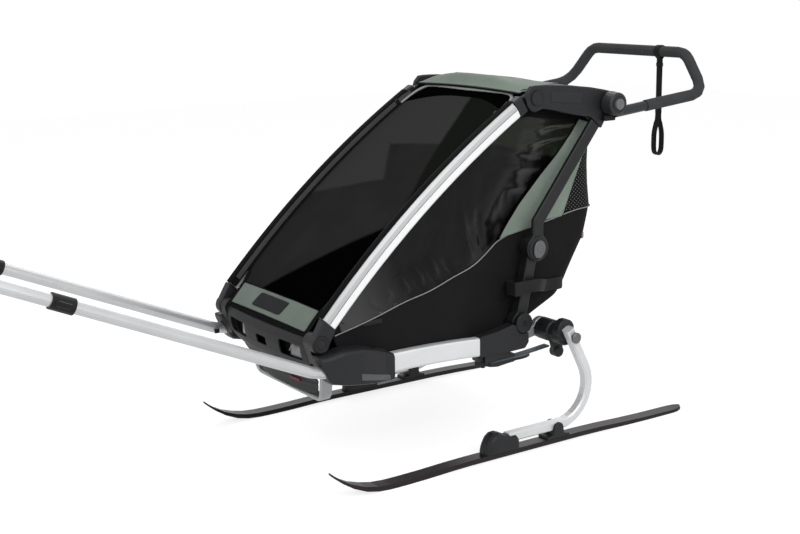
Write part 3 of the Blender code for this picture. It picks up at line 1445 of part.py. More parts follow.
def make_side_cover(name, side, mats, parent):
    """Side panel from the pillar back to the struts, with a few shallow folds."""
    at, length = pillar_line()
    rail_high = RAIL_FRONT_Z + 0.5 * RAIL_HEIGHT
    low = [
        Vector((0.112, rail_high + 0.006)),
        Vector((RAIL_FRONT_Y, rail_high - 0.008)),
        Vector((RAIL_REAR_Y, RAIL_REAR_Z + 0.5 * RAIL_HEIGHT - 0.006)),
        Vector((0.610, RAIL_REAR_Z + 0.5 * RAIL_HEIGHT + 0.004)),
    ]
    low += [Vector((strut_line(z) + SEAM_Y, z)) for z in (0.335, 0.45, 0.60, 0.72, 0.835)]
    high = []
    for distance in (0.075, 0.25, 0.45, 0.65, length - 0.085):
        along, normal = pillar_normal(at, distance)
        high.append(at(distance) - normal * 0.018)
    high.append(Vector((TOP_PIVOT[0] + 0.055, TOP_PIVOT[1] - 0.040)))
    high.append(Vector((STRUT_SEAT[0] - 0.045, STRUT_SEAT[1] + 0.016)))
    rows = []
    steps = 15
    columns = 8
    for i in range(steps + 1):
        a = along_points(low, i / steps)
        b = along_points(high, i / steps)
        row = []
        for j in range(columns + 1):
            p = a.lerp(b, j / columns)
            puff = SIDE_PUFF * math.sin(math.pi * j / columns)
            fold = SIDE_FOLD * math.sin(12.0 * math.pi * i / steps) * math.sin(math.pi * min(1.0, 2.0 * j / columns))
            x = side_x(p[0], p[1]) - puff + fold
            row.append(Vector((side * x, p[0], p[1])))
        rows.append(row)
    piece(name, sheet(rows, CLOTH), mats["black_cloth"], parent)


def along_points(points, t):
    """Point at a share of the length of a broken line."""
    lengths = [(b - a).length for a, b in zip(points, points[1:])]
    left = t * sum(lengths)
    for a, b, run in zip(points, points[1:], lengths):
        if left <= run:
            return a.lerp(b, left / run)
        left -= run
    return points[-1].copy()


def make_rear_cover(mats, parent):
    """Back panel wrapped round from one strut to the other, with a pocket that swells out low down."""
    rows = []
    steps = 12
    half = SIDE_STRUT_X - REAR_INSET
    for i in range(steps + 1):
        p = along_points(REAR_PROFILE, i / steps)
        front_y = strut_line(p[1]) + SEAM_Y + REAR_SEAM
        depth = max(REAR_LEAST, p[0] - front_y)
        corner = min(REAR_CORNER, 0.9 * depth)
        plan = [Vector((half, front_y)), Vector((half, front_y + depth - corner))]
        plan += arc((half - corner, front_y + depth - corner), corner, 22.5, 90.0, 3)
        plan.append(Vector((0.0, front_y + depth + REAR_CROWN)))
        full = plan + [Vector((-q[0], q[1])) for q in reversed(plan[:-1])]
        rows.append([Vector((q[0], q[1], p[1])) for q in full])
    piece("rear_cover", sheet(rows, CLOTH), mats["black_cloth"], parent)


def make_seat(mats, parent):
    """Padded hammock seat: a base above the tub and a leaning back with drawn-in edges."""
    rings = []
    for index, point in enumerate(SEAT_SPINE):
        before = SEAT_SPINE[max(index - 1, 0)]
        after = SEAT_SPINE[min(index + 1, len(SEAT_SPINE) - 1)]
        along = (after - before).normalized()
        normal = Vector((0.0, -along[1], along[0]))
        end = index in (0, len(SEAT_SPINE) - 1)
        half = SEAT_HALF * (0.93 if end else 1.0)
        thick = SEAT_THICK * (0.55 if end else 1.0)
        ring = []
        for t, dip in ((-1.0, 0.0), (-0.92, 0.45), (-0.55, 0.50), (-0.18, 0.42), (0.18, 0.42), (0.55, 0.50),
                       (0.92, 0.45), (1.0, 0.0), (0.92, -0.45), (0.0, -0.5), (-0.92, -0.45)):
            ring.append(Vector((half * t, point[0], point[1])) + normal * (thick * dip))
        rings.append(ring)
    piece("seat", loft(rings), mats["seat_cloth"], parent)


# Assembly

def side_point(p):
    return (0.0, p[0], p[1])


def build():
    clear_scene()
    mats = make_materials()
    trailer = pivot("trailer", None, (0.0, 0.0, 0.0))
    pillars = pivot("pillar_axis", trailer, side_point(FOOT_PIVOT))
    top = pivot("top_axis", pillars, side_point(TOP_PIVOT))
    handle = pivot("handle_axis", top, side_point(HANDLE_PIVOT))
    strap = pivot("strap_axis", handle, (STRAP_X, HANDLE_TOP.y, HANDLE_TOP.z))
    struts = pivot("rear_axis", trailer, side_point(REAR_PIVOT))

    make_front_crossbar(mats, pillars)
    make_front_cover(mats, pillars)
    make_canopy(mats, top)
    make_handlebar(mats, handle)
    make_handle_grip(mats, handle)
    make_wrist_strap(mats, strap)
    make_front_bumper(mats, trailer)
    make_front_hoop(mats, trailer)
    make_rear_crosstube(mats, trailer)
    make_floor_tub(mats, trailer)
    make_seat(mats, trailer)
    make_rear_cover(mats, trailer)

    for label, side in SIDES:
        make_rail("rail_" + label, side, mats, trailer)
        make_socket("socket_" + label, side, mats, trailer)
        make_rear_corner("rear_corner_" + label, side, mats, trailer)
        make_tow_arm("tow_arm_" + label, side, mats, trailer)
        make_tow_tip("tow_tip_" + label, side, mats, trailer)
        make_pole_clip("pole_clip_" + label, side, mats, trailer)
        make_arm_pin("arm_pin_" + label, side, mats, trailer)
        make_side_cover("side_cover_" + label, side, mats, trailer)
        make_pillar("pillar_" + label, side, mats, pillars)
        make_pillar_foot("pillar_foot_" + label, side, mats, pillars)
        make_side_beam("side_beam_" + label, side, mats, top)
        make_upper_strut("upper_strut_" + label, side, mats, top)
        make_lower_strut("lower_strut_" + label, side, mats, struts)

        tab_y, tab_z = release_place()
        tab = pivot("release_axis_" + label, trailer, (side * TAB_X, tab_y, tab_z))
        make_release_tab("release_tab_" + label, side, mats, tab)
        lock = pivot("lock_axis_" + label, top, (side * FRAME_OUTER, MID_PIVOT[0], MID_PIVOT[1]))
        make_fold_lock("fold_lock_" + label, side, mats, lock)
        button = pivot("button_axis_" + label, handle, (side * HUB_OUTER, HANDLE_PIVOT[0], HANDLE_PIVOT[1]))
        make_handle_button("handle_button_" + label, side, mats, button)

        swing = pivot("swing_axis_" + label, trailer, (side * SWING_INNER, SWING_PIVOT[0], SWING_PIVOT[1]))
        make_swing_arm("swing_arm_" + label, side, mats, swing)
        make_axle_hub("axle_hub_" + label, side, mats, swing)
        make_leaf_spring("leaf_spring_" + label, side, mats, trailer)
        make_ski_arm("ski_arm_" + label, side, mats, swing)
        make_front_bracket("ski_bracket_front_" + label, side, mats, swing)
        make_rear_bracket("ski_bracket_rear_" + label, side, mats, swing)
        make_ski("ski_" + label, side, mats, swing)
        knob = pivot("knob_axis_" + label, swing, (side * HALF_TRACK, AXLE[0], AXLE[1]))
        make_axle_button("axle_button_" + label, side, mats, knob)


build()
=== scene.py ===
"""Looks of the child trailer set up as a ski pulk: soft goods, trim, materials, light and camera.

The solids come in as a fixed frame. Places below are measured as in the part's source, from a datum
under the ski tips, and SHIFT moves them to the frame's own origin. Metres throughout.
"""
import math

import bmesh
import bpy
from mathutils import Matrix, Vector, noise
from mathutils.bvhtree import BVHTree


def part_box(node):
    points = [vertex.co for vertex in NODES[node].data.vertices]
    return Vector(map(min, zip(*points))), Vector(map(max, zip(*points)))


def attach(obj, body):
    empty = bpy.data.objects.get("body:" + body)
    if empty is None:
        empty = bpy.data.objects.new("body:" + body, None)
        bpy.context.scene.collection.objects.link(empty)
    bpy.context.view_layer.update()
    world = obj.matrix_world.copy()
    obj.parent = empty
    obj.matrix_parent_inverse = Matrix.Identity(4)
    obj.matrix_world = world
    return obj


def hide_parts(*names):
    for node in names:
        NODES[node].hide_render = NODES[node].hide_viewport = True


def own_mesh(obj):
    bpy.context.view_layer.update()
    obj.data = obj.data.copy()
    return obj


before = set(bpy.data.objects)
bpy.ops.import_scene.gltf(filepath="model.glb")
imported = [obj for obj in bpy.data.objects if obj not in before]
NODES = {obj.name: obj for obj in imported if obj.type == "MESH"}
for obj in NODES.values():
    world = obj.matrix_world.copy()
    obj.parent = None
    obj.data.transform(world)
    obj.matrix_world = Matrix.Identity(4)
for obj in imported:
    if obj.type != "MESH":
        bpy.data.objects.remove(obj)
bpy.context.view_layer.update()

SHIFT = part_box("ski_left")[0].y
SIDES = (("left", 1), ("right", -1))
SEAT_GAP = 0.0003

# Places and sizes of the frame that the soft parts follow
FOOT_PIVOT = Vector((0.0365, 0.3745))
TOP_PIVOT = Vector((0.719, 0.933))
MID_PIVOT = Vector((0.727, 0.527))
REAR_PIVOT = Vector((0.681, 0.3236))
HANDLE_PIVOT = Vector((0.975, 0.903))
HANDLE_TOP = Vector((0.199, 1.333, 1.0212))
STRUT_KNEE = Vector((0.729, 0.599))
STRUT_SEAT = Vector((0.93, 0.853))
FRAME_OUTER = 0.2625
BEAM_INNER = 0.2315
PILLAR_OFFSET = 0.011
PILLAR_BOW = 0.035
POD_INNER = 0.235
RAIL_FRONT_Y = 0.245
RAIL_REAR_Y = 0.527
RAIL_FRONT_TOP = 0.315
RAIL_REAR_TOP = 0.3075

# Soft parts
COVER_LOW_HALF = 0.211
COVER_LIFT_LOW = 0.004
COVER_LIFT_TOP = 0.0045
SIDE_OUTER = POD_INNER - SEAT_GAP
SIDE_STRUT_X = 0.201
SEAM_Y = 0.034
CANOPY_HALF = BEAM_INNER - SEAT_GAP
CLOTH = 0.0016
FILM_STEP_SLOPE = 0.2414
FILM_STEP = 0.9598 + 0.007 + FILM_STEP_SLOPE * SHIFT
FILM_U = 0.2266
FILM_V = 0.066
FILM_LIGHT = (0.036, 0.036, 0.036)
FILM_INNER = (0.0085, 0.0098, 0.008)
# Painted shade: the near-black of the foot well seen through the front window.
FILM_WELL_SHADE = (0.001, 0.001, 0.001)
FILM_SHADE = (0.0016, 0.0016, 0.0018)
FILM_PALE = (0.056, 0.056, 0.056)
PALE_START = -0.61
PALE_END = -0.4

UP = Vector((0.0, 0.0, 1.0))
ACROSS = Vector((1.0, 0.0, 0.0))
FORWARD = Vector((0.0, -1.0, 0.0))


# Small helpers

def mix(a, b, t):
    return a + (b - a) * t


def smooth_step(t):
    t = min(max(t, 0.0), 1.0)
    return t * t * (3.0 - 2.0 * t)


def polar(centre, radius, degrees):
    angle = math.radians(degrees)
    return Vector((centre[0] + radius * math.cos(angle), centre[1] + radius * math.sin(angle)))


def heading(start, end):
    return math.degrees(math.atan2(end[1] - start[1], end[0] - start[0]))


def along_points(points, t):
    """Point at a share of the length of a broken line."""
    lengths = [(b - a).length for a, b in zip(points, points[1:])]
    left = t * sum(lengths)
    for a, b, run in zip(points, points[1:], lengths):
        if left <= run:
            return a.lerp(b, left / max(run, 1e-9))
        left -= run
    return points[-1].copy()


def smooth_line(points, count):
    """Smooth curve through a few points, as evenly spaced points."""
    dense = []
    for i in range(len(points) - 1):
        p0 = points[max(i - 1, 0)]
        p1, p2 = points[i], points[i + 1]
        p3 = points[min(i + 2, len(points) - 1)]
        for k in range(12):
            t = k / 12
            dense.append(0.5 * (2 * p1 + (p2 - p0) * t + (2 * p0 - 5 * p1 + 4 * p2 - p3) * t * t
                                + (3 * p1 - 3 * p2 + p3 - p0) * t ** 3))
    dense.append(points[-1].copy())
    return [along_points(dense, i / (count - 1)) for i in range(count)]


def circle(radius, sides):
    return [(radius * math.cos(2 * math.pi * i / sides), radius * math.sin(2 * math.pi * i / sides))
            for i in range(sides)]


def vectors(*places):
    return [Vector(p) for p in places]


def at_x(x, q):
    """Point of the side plane, moved out to X."""
    return Vector((x, q[0], q[1]))


def sided(side, places):
    """Points given for the left side, mirrored for the right one."""
    return [Vector((side * x, y, z)) for x, y, z in places]


def span(count, place):
    """Points at even shares of a line, from 0 to 1."""
    return [place(i / count) for i in range(count + 1)]


def grid(rows, columns, place):
    """Rows of points at even shares along and across a sheet."""
    return [[place(i / rows, j / columns) for j in range(columns + 1)] for i in range(rows + 1)]


# Materials

MATERIALS = {}
# Painted light: the bright rear half of the pillars; their front half carries painted shade.
PILLAR_LIT_REAR = (0.88, 0.885, 0.89)
PILLAR_SPLIT = 0.0008
DRAWN = (1.0, 0.02, 1.0)
EVEN = (1.0, 1.0, 1.0)


def feed(tree, made, inputs):
    """Give each input of a node a value or another node's output."""
    for key, value in inputs.items():
        if isinstance(value, bpy.types.NodeSocket):
            tree.links.new(value, made.inputs[key])
        else:
            made.inputs[key].default_value = value


def node(tree, kind, inputs=None, **settings):
    made = tree.nodes.new("ShaderNode" + kind)
    for key, value in settings.items():
        setattr(made, key, value)
    feed(tree, made, inputs or {})
    return made


def shade(colour, factor=1.0):
    return (colour[0] * factor, colour[1] * factor, colour[2] * factor, 1.0)


def new_material(name, roughness, metallic=0.0):
    mat = bpy.data.materials.new(name)
    mat.use_nodes = True
    MATERIALS[name] = mat
    tree = mat.node_tree
    shader = tree.nodes["Principled BSDF"]
    feed(tree, shader, {"Roughness": roughness, "Metallic": metallic})
    return tree, shader, node(tree, "TexCoord").outputs["Object"]


def cloth_uv(tree):
    return node(tree, "UVMap").outputs["UV"]


def speckle(tree, coords, scale, detail=3.0, stretch=EVEN):
    place = node(tree, "Mapping", {"Scale": stretch, "Vector": coords}).outputs["Vector"]
    return node(tree, "TexNoise", {"Scale": scale, "Detail": detail, "Vector": place}).outputs["Fac"]


def threads(tree, vector, pitch, distortion, axis="X"):
    """Even rows of threads at a pitch."""
    inputs = {"Scale": math.pi / (10.0 * pitch), "Distortion": distortion, "Vector": vector}
    return node(tree, "TexWave", inputs, bands_direction=axis).outputs["Fac"]


def ramp(tree, factor, low, high, start=0.3, end=0.7):
    made = node(tree, "ValToRGB", {"Fac": factor})
    for element, position, colour in zip(made.color_ramp.elements, (start, end), (low, high)):
        element.position = position
        element.color = colour
    return made.outputs["Color"]


def ranged(tree, value, start, end, low=0.0, high=1.0):
    """Value brought from start and end to low and high."""
    inputs = {"Value": value, "From Min": start, "From Max": end, "To Min": low, "To Max": high}
    return node(tree, "MapRange", inputs).outputs["Result"]


def uneven(tree, factor, middle, low, high):
    return ranged(tree, factor, 0.0, 1.0, middle * low, middle * high)


def maths(tree, operation, a, b):
    return node(tree, "Math", {0: a, 1: b}, operation=operation).outputs["Value"]


def vector_maths(tree, operation, a, b, output="Vector"):
    second = "Scale" if operation == "SCALE" else 1
    return node(tree, "VectorMath", {0: a, second: b}, operation=operation).outputs[output]


def bump(tree, height, strength, distance, before=None):
    inputs = {"Strength": strength, "Distance": distance, "Height": height}
    if before is not None:
        inputs["Normal"] = before
    return node(tree, "Bump", inputs).outputs["Normal"]


def mix_colour(tree, factor, low, high):
    return node(tree, "Mix", {"Factor": factor, 6: low, 7: high}, data_type="RGBA").outputs[2]


def half_plane(tree, coords, p, q, side, soft=0.006):
    """Mask that is 1 on one side of the line from p to q in the first two coordinates."""
    run = (Vector(q) - Vector(p)).normalized()
    across = Vector((-run[1], run[0])) * side
    reach = vector_maths(tree, "DOT_PRODUCT", coords, (across[0], across[1], 0.0), "Value")
    edge = across.dot(Vector(p))
    return ranged(tree, reach, edge - soft, edge + soft)


def moulded(name, colour, roughness, grain=1400.0, depth=0.00012, fleck=0.12, metallic=0.0, gloss=0.5):
    """Moulded or coated finish: faint mottling, uneven gloss and a fine grain."""
    tree, shader, coords = new_material(name, roughness, metallic)
    broad = speckle(tree, coords, 22.0)
    feed(tree, shader, {
        "Base Color": ramp(tree, broad, shade(colour, 1.0 - fleck), shade(colour, 1.0 + fleck)),
        "Roughness": uneven(tree, broad, roughness, 0.85, 1.15), "Specular IOR Level": gloss,
        "Normal": bump(tree, speckle(tree, coords, grain, 2.0), 0.35, depth)})


def even_tones(tree, coords, colour):
    return ramp(tree, speckle(tree, coords, 9.0), shade(colour, 0.95), shade(colour, 1.03))


def pillar_shade_and_light(tree, coords, colour):
    """Painted shade on a greyer front half and painted light on a bright rear half, parted along the pillar's
    bowed centre line.
    """
    centre, radius = pillar_circle()
    flat = vector_maths(tree, "MULTIPLY", coords, (0.0, 1.0, 1.0))
    reach = vector_maths(tree, "DISTANCE", flat, (0.0, centre[0] + SHIFT, centre[1]), "Value")
    split = ranged(tree, reach, radius - PILLAR_SPLIT, radius + PILLAR_SPLIT)
    return mix_colour(tree, split, shade(PILLAR_LIT_REAR), shade(colour))


def metal(name, colour, roughness, stretch, metallic, tones=even_tones):
    """Anodised metal with fine drawing lines along one axis; tones gives its colour changes."""
    tree, shader, coords = new_material(name, roughness, metallic)
    lines = speckle(tree, coords, 420.0, 2.0, stretch)
    feed(tree, shader, {
        "Base Color": tones(tree, coords, colour), "Roughness": uneven(tree, lines, roughness, 0.8, 1.2),
        "Normal": bump(tree, lines, 0.12, 0.00008)})


def woven(name, colour, roughness, pitch=0.0011, depth=0.0003, contrast=0.18, sheen=0.25, crease=0.0,
          gloss=0.1):
    """Plain weave that follows the cloth's own coordinates, with tone changes and soft creases."""
    tree, shader, coords = new_material(name, roughness)
    height = maths(tree, "MULTIPLY", *[threads(tree, cloth_uv(tree), pitch, 0.6, axis) for axis in "XY"])
    broad = speckle(tree, coords, 14.0)
    tone = maths(tree, "ADD", maths(tree, "MULTIPLY", height, 0.45), maths(tree, "MULTIPLY", broad, 0.55))
    normal = bump(tree, height, 0.5, depth)
    if crease:
        normal = bump(tree, speckle(tree, coords, 11.0, 2.0, (1.0, 0.6, 1.4)), 0.6, crease, normal)
    feed(tree, shader, {
        "Base Color": ramp(tree, tone, shade(colour, 1.0 - contrast), shade(colour, 1.0 + contrast), 0.2, 0.75),
        "Normal": normal, "Sheen Weight": sheen, "Sheen Roughness": 0.5, "Specular IOR Level": gloss})


def front_film_tones(tree, coords, tone):
    """What shows through the front window: a lighter head part, the near side's inside, and painted shade for
    the dark foot well.
    """
    sway = node(tree, "TexNoise", {"Scale": 9.0, "Vector": coords}).outputs["Color"]
    wavy = vector_maths(tree, "ADD", cloth_uv(tree), vector_maths(tree, "SCALE", sway, 0.012))

    def area(*lines):
        """Mask where all the lines' sides meet; their ends are places across and up the pillar line."""
        mask = None
        for p, q, side in lines:
            ends = [(x + FILM_U, distance - FILM_V) for x, distance in (p, q)]
            part = half_plane(tree, wavy, ends[0], ends[1], side)
            mask = part if mask is None else maths(tree, "MINIMUM", mask, part)
        return mask

    head = area(((-0.17, 0.42), (0.045, 0.491), 1), ((0.065, 0.475), (-0.11, 0.66), 1))
    brow = area(((-0.0525, 0.62), (0.125, 0.6486), 1))
    inner = area(((0.07, 0.812), (0.1675, 0.5506), 1))
    # Area of the foot well's painted shade.
    well = area(((-0.0975, 0.0762), (0.185, 0.3304), -1))
    zones = ((maths(tree, "MAXIMUM", head, brow), FILM_LIGHT), (inner, FILM_INNER), (well, FILM_WELL_SHADE))
    for mask, colour in zones:
        tone = mix_colour(tree, mask, tone, shade(colour))
    return tone


def side_film_tones(tree, coords, tone):
    """A side window's tones: dark under a slanted line, and paler again at its lower front corner."""
    height = vector_maths(tree, "DOT_PRODUCT", coords, (0.0, FILM_STEP_SLOPE, 1.0), "Value")
    wavy = maths(tree, "MULTIPLY", speckle(tree, coords, 14.0, 2.0), 0.014)
    step = ranged(tree, maths(tree, "ADD", height, wavy), FILM_STEP - 0.003, FILM_STEP + 0.004)
    tone = mix_colour(tree, step, shade(FILM_SHADE), tone)
    front = vector_maths(tree, "DOT_PRODUCT", coords, (0.0, -1.0, -0.6), "Value")
    return mix_colour(tree, ranged(tree, front, PALE_START, PALE_END), tone, shade(FILM_PALE))


def film(name, colour, roughness, alpha, crease_scale, crease, tones, gloss):
    """Tinted window film, partly see-through and creased; tones adds its lighter and darker areas."""
    tree, shader, coords = new_material(name, roughness)
    broad = speckle(tree, coords, 6.0)
    tone = ramp(tree, broad, shade(colour, 0.85), shade(colour, 1.15))
    folds = speckle(tree, coords, crease_scale, 2.0, (1.0, 0.55, 1.6))
    feed(tree, shader, {
        "Base Color": tones(tree, coords, tone), "Roughness": uneven(tree, broad, roughness, 0.8, 1.25),
        "Normal": bump(tree, folds, 0.5, crease), "Alpha": alpha, "Specular IOR Level": gloss})


def netting(name, colour, pitch):
    """Knitted mesh: rows of lighter holes in two slanted directions on a dark ground."""
    tree, shader, _ = new_material(name, 0.8)
    rows = []
    for turn in (50.0, -50.0):
        slant = node(tree, "Mapping", {"Rotation": (0.0, 0.0, math.radians(turn)), "Vector": cloth_uv(tree)})
        rows.append(threads(tree, slant.outputs["Vector"], pitch, 0.0))
    height = maths(tree, "MULTIPLY", *rows)
    feed(tree, shader, {
        "Base Color": ramp(tree, height, shade(colour, 0.5), shade(colour, 16.0), 0.45, 0.85),
        "Specular IOR Level": 0.1, "Normal": bump(tree, height, 0.6, 0.0008)})


def make_materials():
    metal("satin_aluminium", (0.7, 0.71, 0.72), 0.42, DRAWN, 0.45)
    metal("arm_aluminium", (0.52, 0.53, 0.54), 0.36, (1.0, 0.02, 0.05), 0.6)
    # Pillar colour with painted shade on the front half and painted light on the rear half.
    metal("pillar_aluminium", (0.4, 0.405, 0.41), 0.42, (1.0, 0.02, 0.02), 0.35, pillar_shade_and_light)
    metal("ski_arm_aluminium", (0.66, 0.67, 0.68), 0.45, DRAWN, 0.4)
    # Aluminium of the low tubes: its darker colour is painted shade from sitting under the trailer; it is also
    # rougher.
    metal("dull_shaded_aluminium", (0.36, 0.37, 0.38), 0.5, (1.0, 0.05, 1.0), 0.6)
    metal("knurled_metal", (0.13, 0.13, 0.135), 0.45, EVEN, 0.5)
    metal("blued_steel", (0.055, 0.072, 0.095), 0.42, DRAWN, 0.5)
    moulded("frame_black", (0.0105, 0.011, 0.0125), 0.5, gloss=0.28)
    moulded("strut_black", (0.008, 0.0085, 0.0095), 0.46, gloss=0.3)
    moulded("bumper_black", (0.017, 0.0175, 0.019), 0.6, 900.0, 0.0002, gloss=0.22)
    moulded("dial_grey", (0.105, 0.108, 0.112), 0.42, 1600.0, 0.00008, 0.08, 0.2)
    moulded("button_grey", (0.115, 0.118, 0.122), 0.48)
    moulded("tab_black", (0.0065, 0.0065, 0.0072), 0.5, gloss=0.2)
    moulded("tube_black", (0.017, 0.0185, 0.0205), 0.46, 1800.0, 0.0001, 0.1, gloss=0.3)
    moulded("grip_foam", (0.042, 0.044, 0.047), 0.88, 700.0, 0.0005, 0.15, gloss=0.2)
    moulded("rubber", (0.008, 0.008, 0.0088), 0.75, 900.0, gloss=0.2)
    moulded("groove_grey", (0.06, 0.061, 0.063), 0.6, gloss=0.1)
    moulded("ski_laminate", (0.015, 0.011, 0.0115), 0.34, 1200.0, 0.00005, 0.2, gloss=0.2)
    moulded("reflector_grey", (0.06, 0.061, 0.064), 0.3, 300.0, 0.0004, 0.1)
    moulded("patch_plate", (0.02, 0.021, 0.023), 0.55, 700.0, 0.0001, 0.05, gloss=0.2)
    moulded("lens_clear", (0.17, 0.17, 0.175), 0.22, 300.0, 0.0004, 0.15)
    moulded("reflector_red", (0.1, 0.02, 0.012), 0.25, 300.0, 0.0004, 0.15)
    moulded("insert_red", (0.15, 0.004, 0.012), 0.5, gloss=0.2)
    moulded("zip_grey", (0.25, 0.25, 0.255), 0.5, 700.0, 0.0002, 0.1)
    woven("green_cloth", (0.212, 0.258, 0.22), 0.82, crease=0.002, sheen=0.1)
    woven("hem_green", (0.052, 0.066, 0.056), 0.82, sheen=0.05)
    woven("black_cloth", (0.0105, 0.0105, 0.011), 0.85, crease=0.002, sheen=0.0)
    woven("border_cloth", (0.005, 0.005, 0.0055), 0.85, sheen=0.0, gloss=0.06)
    woven("head_cloth", (0.0014, 0.0014, 0.0016), 0.85, sheen=0.0, gloss=0.0)
    # A darker copy of the green cloth, with painted shade for the front band.
    woven("band_cloth_shaded", (0.152, 0.188, 0.16), 0.82, crease=0.001, sheen=0.1)
    woven("patch_cloth", (0.018, 0.019, 0.02), 0.75, 0.0016, 0.0003, 0.1, 0.0)
    woven("tag_cloth", (0.022, 0.022, 0.023), 0.75, 0.0012, 0.0002, 0.1, 0.0)
    woven("tape_grey", (0.066, 0.066, 0.068), 0.75, 0.0012, 0.0003, 0.15, 0.0)
    woven("silver_piping", (0.27, 0.28, 0.28), 0.5, 0.0009, 0.0002, 0.1, 0.05)
    woven("webbing", (0.011, 0.011, 0.012), 0.75, 0.0018, 0.0006, 0.3, 0.03)
    woven("strap_webbing", (0.02, 0.02, 0.021), 0.75, 0.0018, 0.0006, 0.25, 0.03)
    woven("grey_webbing", (0.15, 0.155, 0.16), 0.7, 0.0018, 0.0005, 0.2, 0.1)
    woven("seat_cloth", (0.026, 0.027, 0.028), 0.88, 0.0014, 0.0005, 0.2, 0.1, 0.003)
    woven("seat_lining", (0.06, 0.062, 0.064), 0.88, 0.0014, 0.0005, 0.2, 0.1, 0.003)
    film("front_film", (0.02, 0.02, 0.02), 0.25, 0.97, 3.0, 0.0006, front_film_tones, 0.0)
    film("side_film", (0.0115, 0.0135, 0.0088), 0.2, 0.93, 9.0, 0.002, side_film_tones, 0.17)
    netting("pocket_net", (0.0085, 0.0085, 0.0085), 0.0085)


# Mesh builders

def finish_mesh(name, bm, mat, sharp):
    """Put a bmesh made in datum coordinates into the scene as a named piece."""
    bmesh.ops.translate(bm, verts=bm.verts, vec=(0.0, SHIFT, 0.0))
    bmesh.ops.recalc_face_normals(bm, faces=bm.faces)
    mesh = bpy.data.meshes.new(name)
    bm.to_mesh(mesh)
    bm.free()
    mesh.shade_smooth()
    mesh.set_sharp_from_angle(angle=math.radians(sharp))
    obj = bpy.data.objects.new(name, mesh)
    mesh.materials.append(MATERIALS[mat])
    bpy.context.scene.collection.objects.link(obj)
    return obj


def add_modifier(obj, kind, **settings):
    made = obj.modifiers.new(kind.lower(), kind)
    for key, value in settings.items():
        setattr(made, key, value)
    return made


def travelled(path):
    """Length run up to each point of a path."""
    runs = [0.0]
    for a, b in zip(path, path[1:]):
        runs.append(runs[-1] + (b - a).length)
    return runs


def grid_sizes(rows):
    """Distances along and across a grid of points, for cloth coordinates, and its width."""
    across = [travelled(row) for row in rows]
    middle = len(rows[0]) // 2
    return across, travelled([row[middle] for row in rows]), max(a[-1] for a in across)


def sheet_piece(name, rows, mat, thick=CLOTH, smooth=1):
    """Cloth over a grid of points, with its own coordinates, a thickness and rounded folds."""
    bm = bmesh.new()
    uv = bm.loops.layers.uv.new("UVMap")
    across, down, width = grid_sizes(rows)
    verts = [[bm.verts.new(p) for p in row] for row in rows]
    for r in range(len(rows) - 1):
        for c in range(len(rows[0]) - 1):
            corners = ((r, c), (r, c + 1), (r + 1, c + 1), (r + 1, c))
            face = bm.faces.new([verts[i][j] for i, j in corners])
            for loop, (i, j) in zip(face.loops, corners):
                loop[uv].uv = (across[i][j] + 0.5 * (width - across[i][-1]), down[i])
    obj = finish_mesh(name, bm, mat, 60.0)
    if smooth:
        add_modifier(obj, "SUBSURF", levels=smooth, render_levels=smooth)
    add_modifier(obj, "SOLIDIFY", thickness=thick, offset=0.0)
    return obj


def declare_sheet(rows):
    """Work out the width and length of a sheet of cloth's flat cut; nothing is done with them."""
    width = grid_sizes(rows)[2]
    length = max(travelled([row[c] for row in rows])[-1] for c in range(len(rows[0])))


def loft_piece(name, rings, mat, sharp, closed=False, around=None, along=None):
    """Skin over rings of points with closed ends, or run round; around and along are cloth coordinates."""
    bm = bmesh.new()
    uv = bm.loops.layers.uv.new("UVMap") if around else None
    verts = [[bm.verts.new(p) for p in ring] for ring in rings]
    count, sides = len(rings), len(rings[0])
    for i in range(count if closed else count - 1):
        low, high = verts[i], verts[(i + 1) % count]
        for k in range(sides):
            m = (k + 1) % sides
            face = bm.faces.new((low[k], low[m], high[m], high[k]))
            if around:
                for loop, (a, b) in zip(face.loops, ((k, i), (k + 1, i), (k + 1, i + 1), (k, i + 1))):
                    loop[uv].uv = (around[a], along[b])
    if not closed:
        bm.faces.new(verts[0][::-1])
        bm.faces.new(verts[-1])
    return finish_mesh(name, bm, mat, sharp)


def sweep_piece(name, path, mat, closed, section, around, axes):
    """Carry a section along a path; axes gives the section's two directions at each point."""
    rings = []
    count = len(path)
    for i, p in enumerate(path):
        before = path[(i - 1) % count] if closed or i else p
        after = path[(i + 1) % count] if closed or i < count - 1 else p
        side, out = axes((after - before).normalized(), i)
        rings.append([p + side * a + out * b for a, b in section])
    runs = travelled(path)
    return loft_piece(name, rings, mat, 50.0, closed, around, runs + [runs[-1] + 0.01])


def tube_piece(name, path, radius, mat, sides=8, closed=False, flat=1.0):
    """Round or flattened cord along a path."""
    across = []

    def axes(direction, i):
        if not across:
            across.append(direction.cross(Vector((0.0, 0.0, 1.0))))
            if across[0].length < 0.2:
                across[0] = direction.cross(Vector((1.0, 0.0, 0.0)))
        across[0] = (across[0] - direction * across[0].dot(direction)).normalized()
        return across[0], direction.cross(across[0]) * flat

    around = [2.0 * math.pi * radius * k / sides for k in range(sides + 1)]
    return sweep_piece(name, path, mat, closed, circle(radius, sides), around, axes)


def ribbon_piece(name, path, faces_to, width, thick, mat, closed=False):
    """Flat webbing along a path. faces_to is the outward direction, one for all or one for each point."""
    def axes(direction, i):
        out = faces_to[i] if isinstance(faces_to, list) else faces_to
        out = (out - direction * out.dot(direction)).normalized()
        return direction.cross(out), out

    half = [(-0.5, -0.35), (-0.38, -0.5), (0.38, -0.5), (0.5, -0.35)]
    section = [(a * width, b * thick) for a, b in half + [(a, -b) for a, b in reversed(half)]]
    around = [share * width for share in (0.0, 0.12, 0.88, 1.0, 1.0, 0.88, 0.12, 0.0, 0.0)]
    return sweep_piece(name, path, mat, closed, section, around, axes)


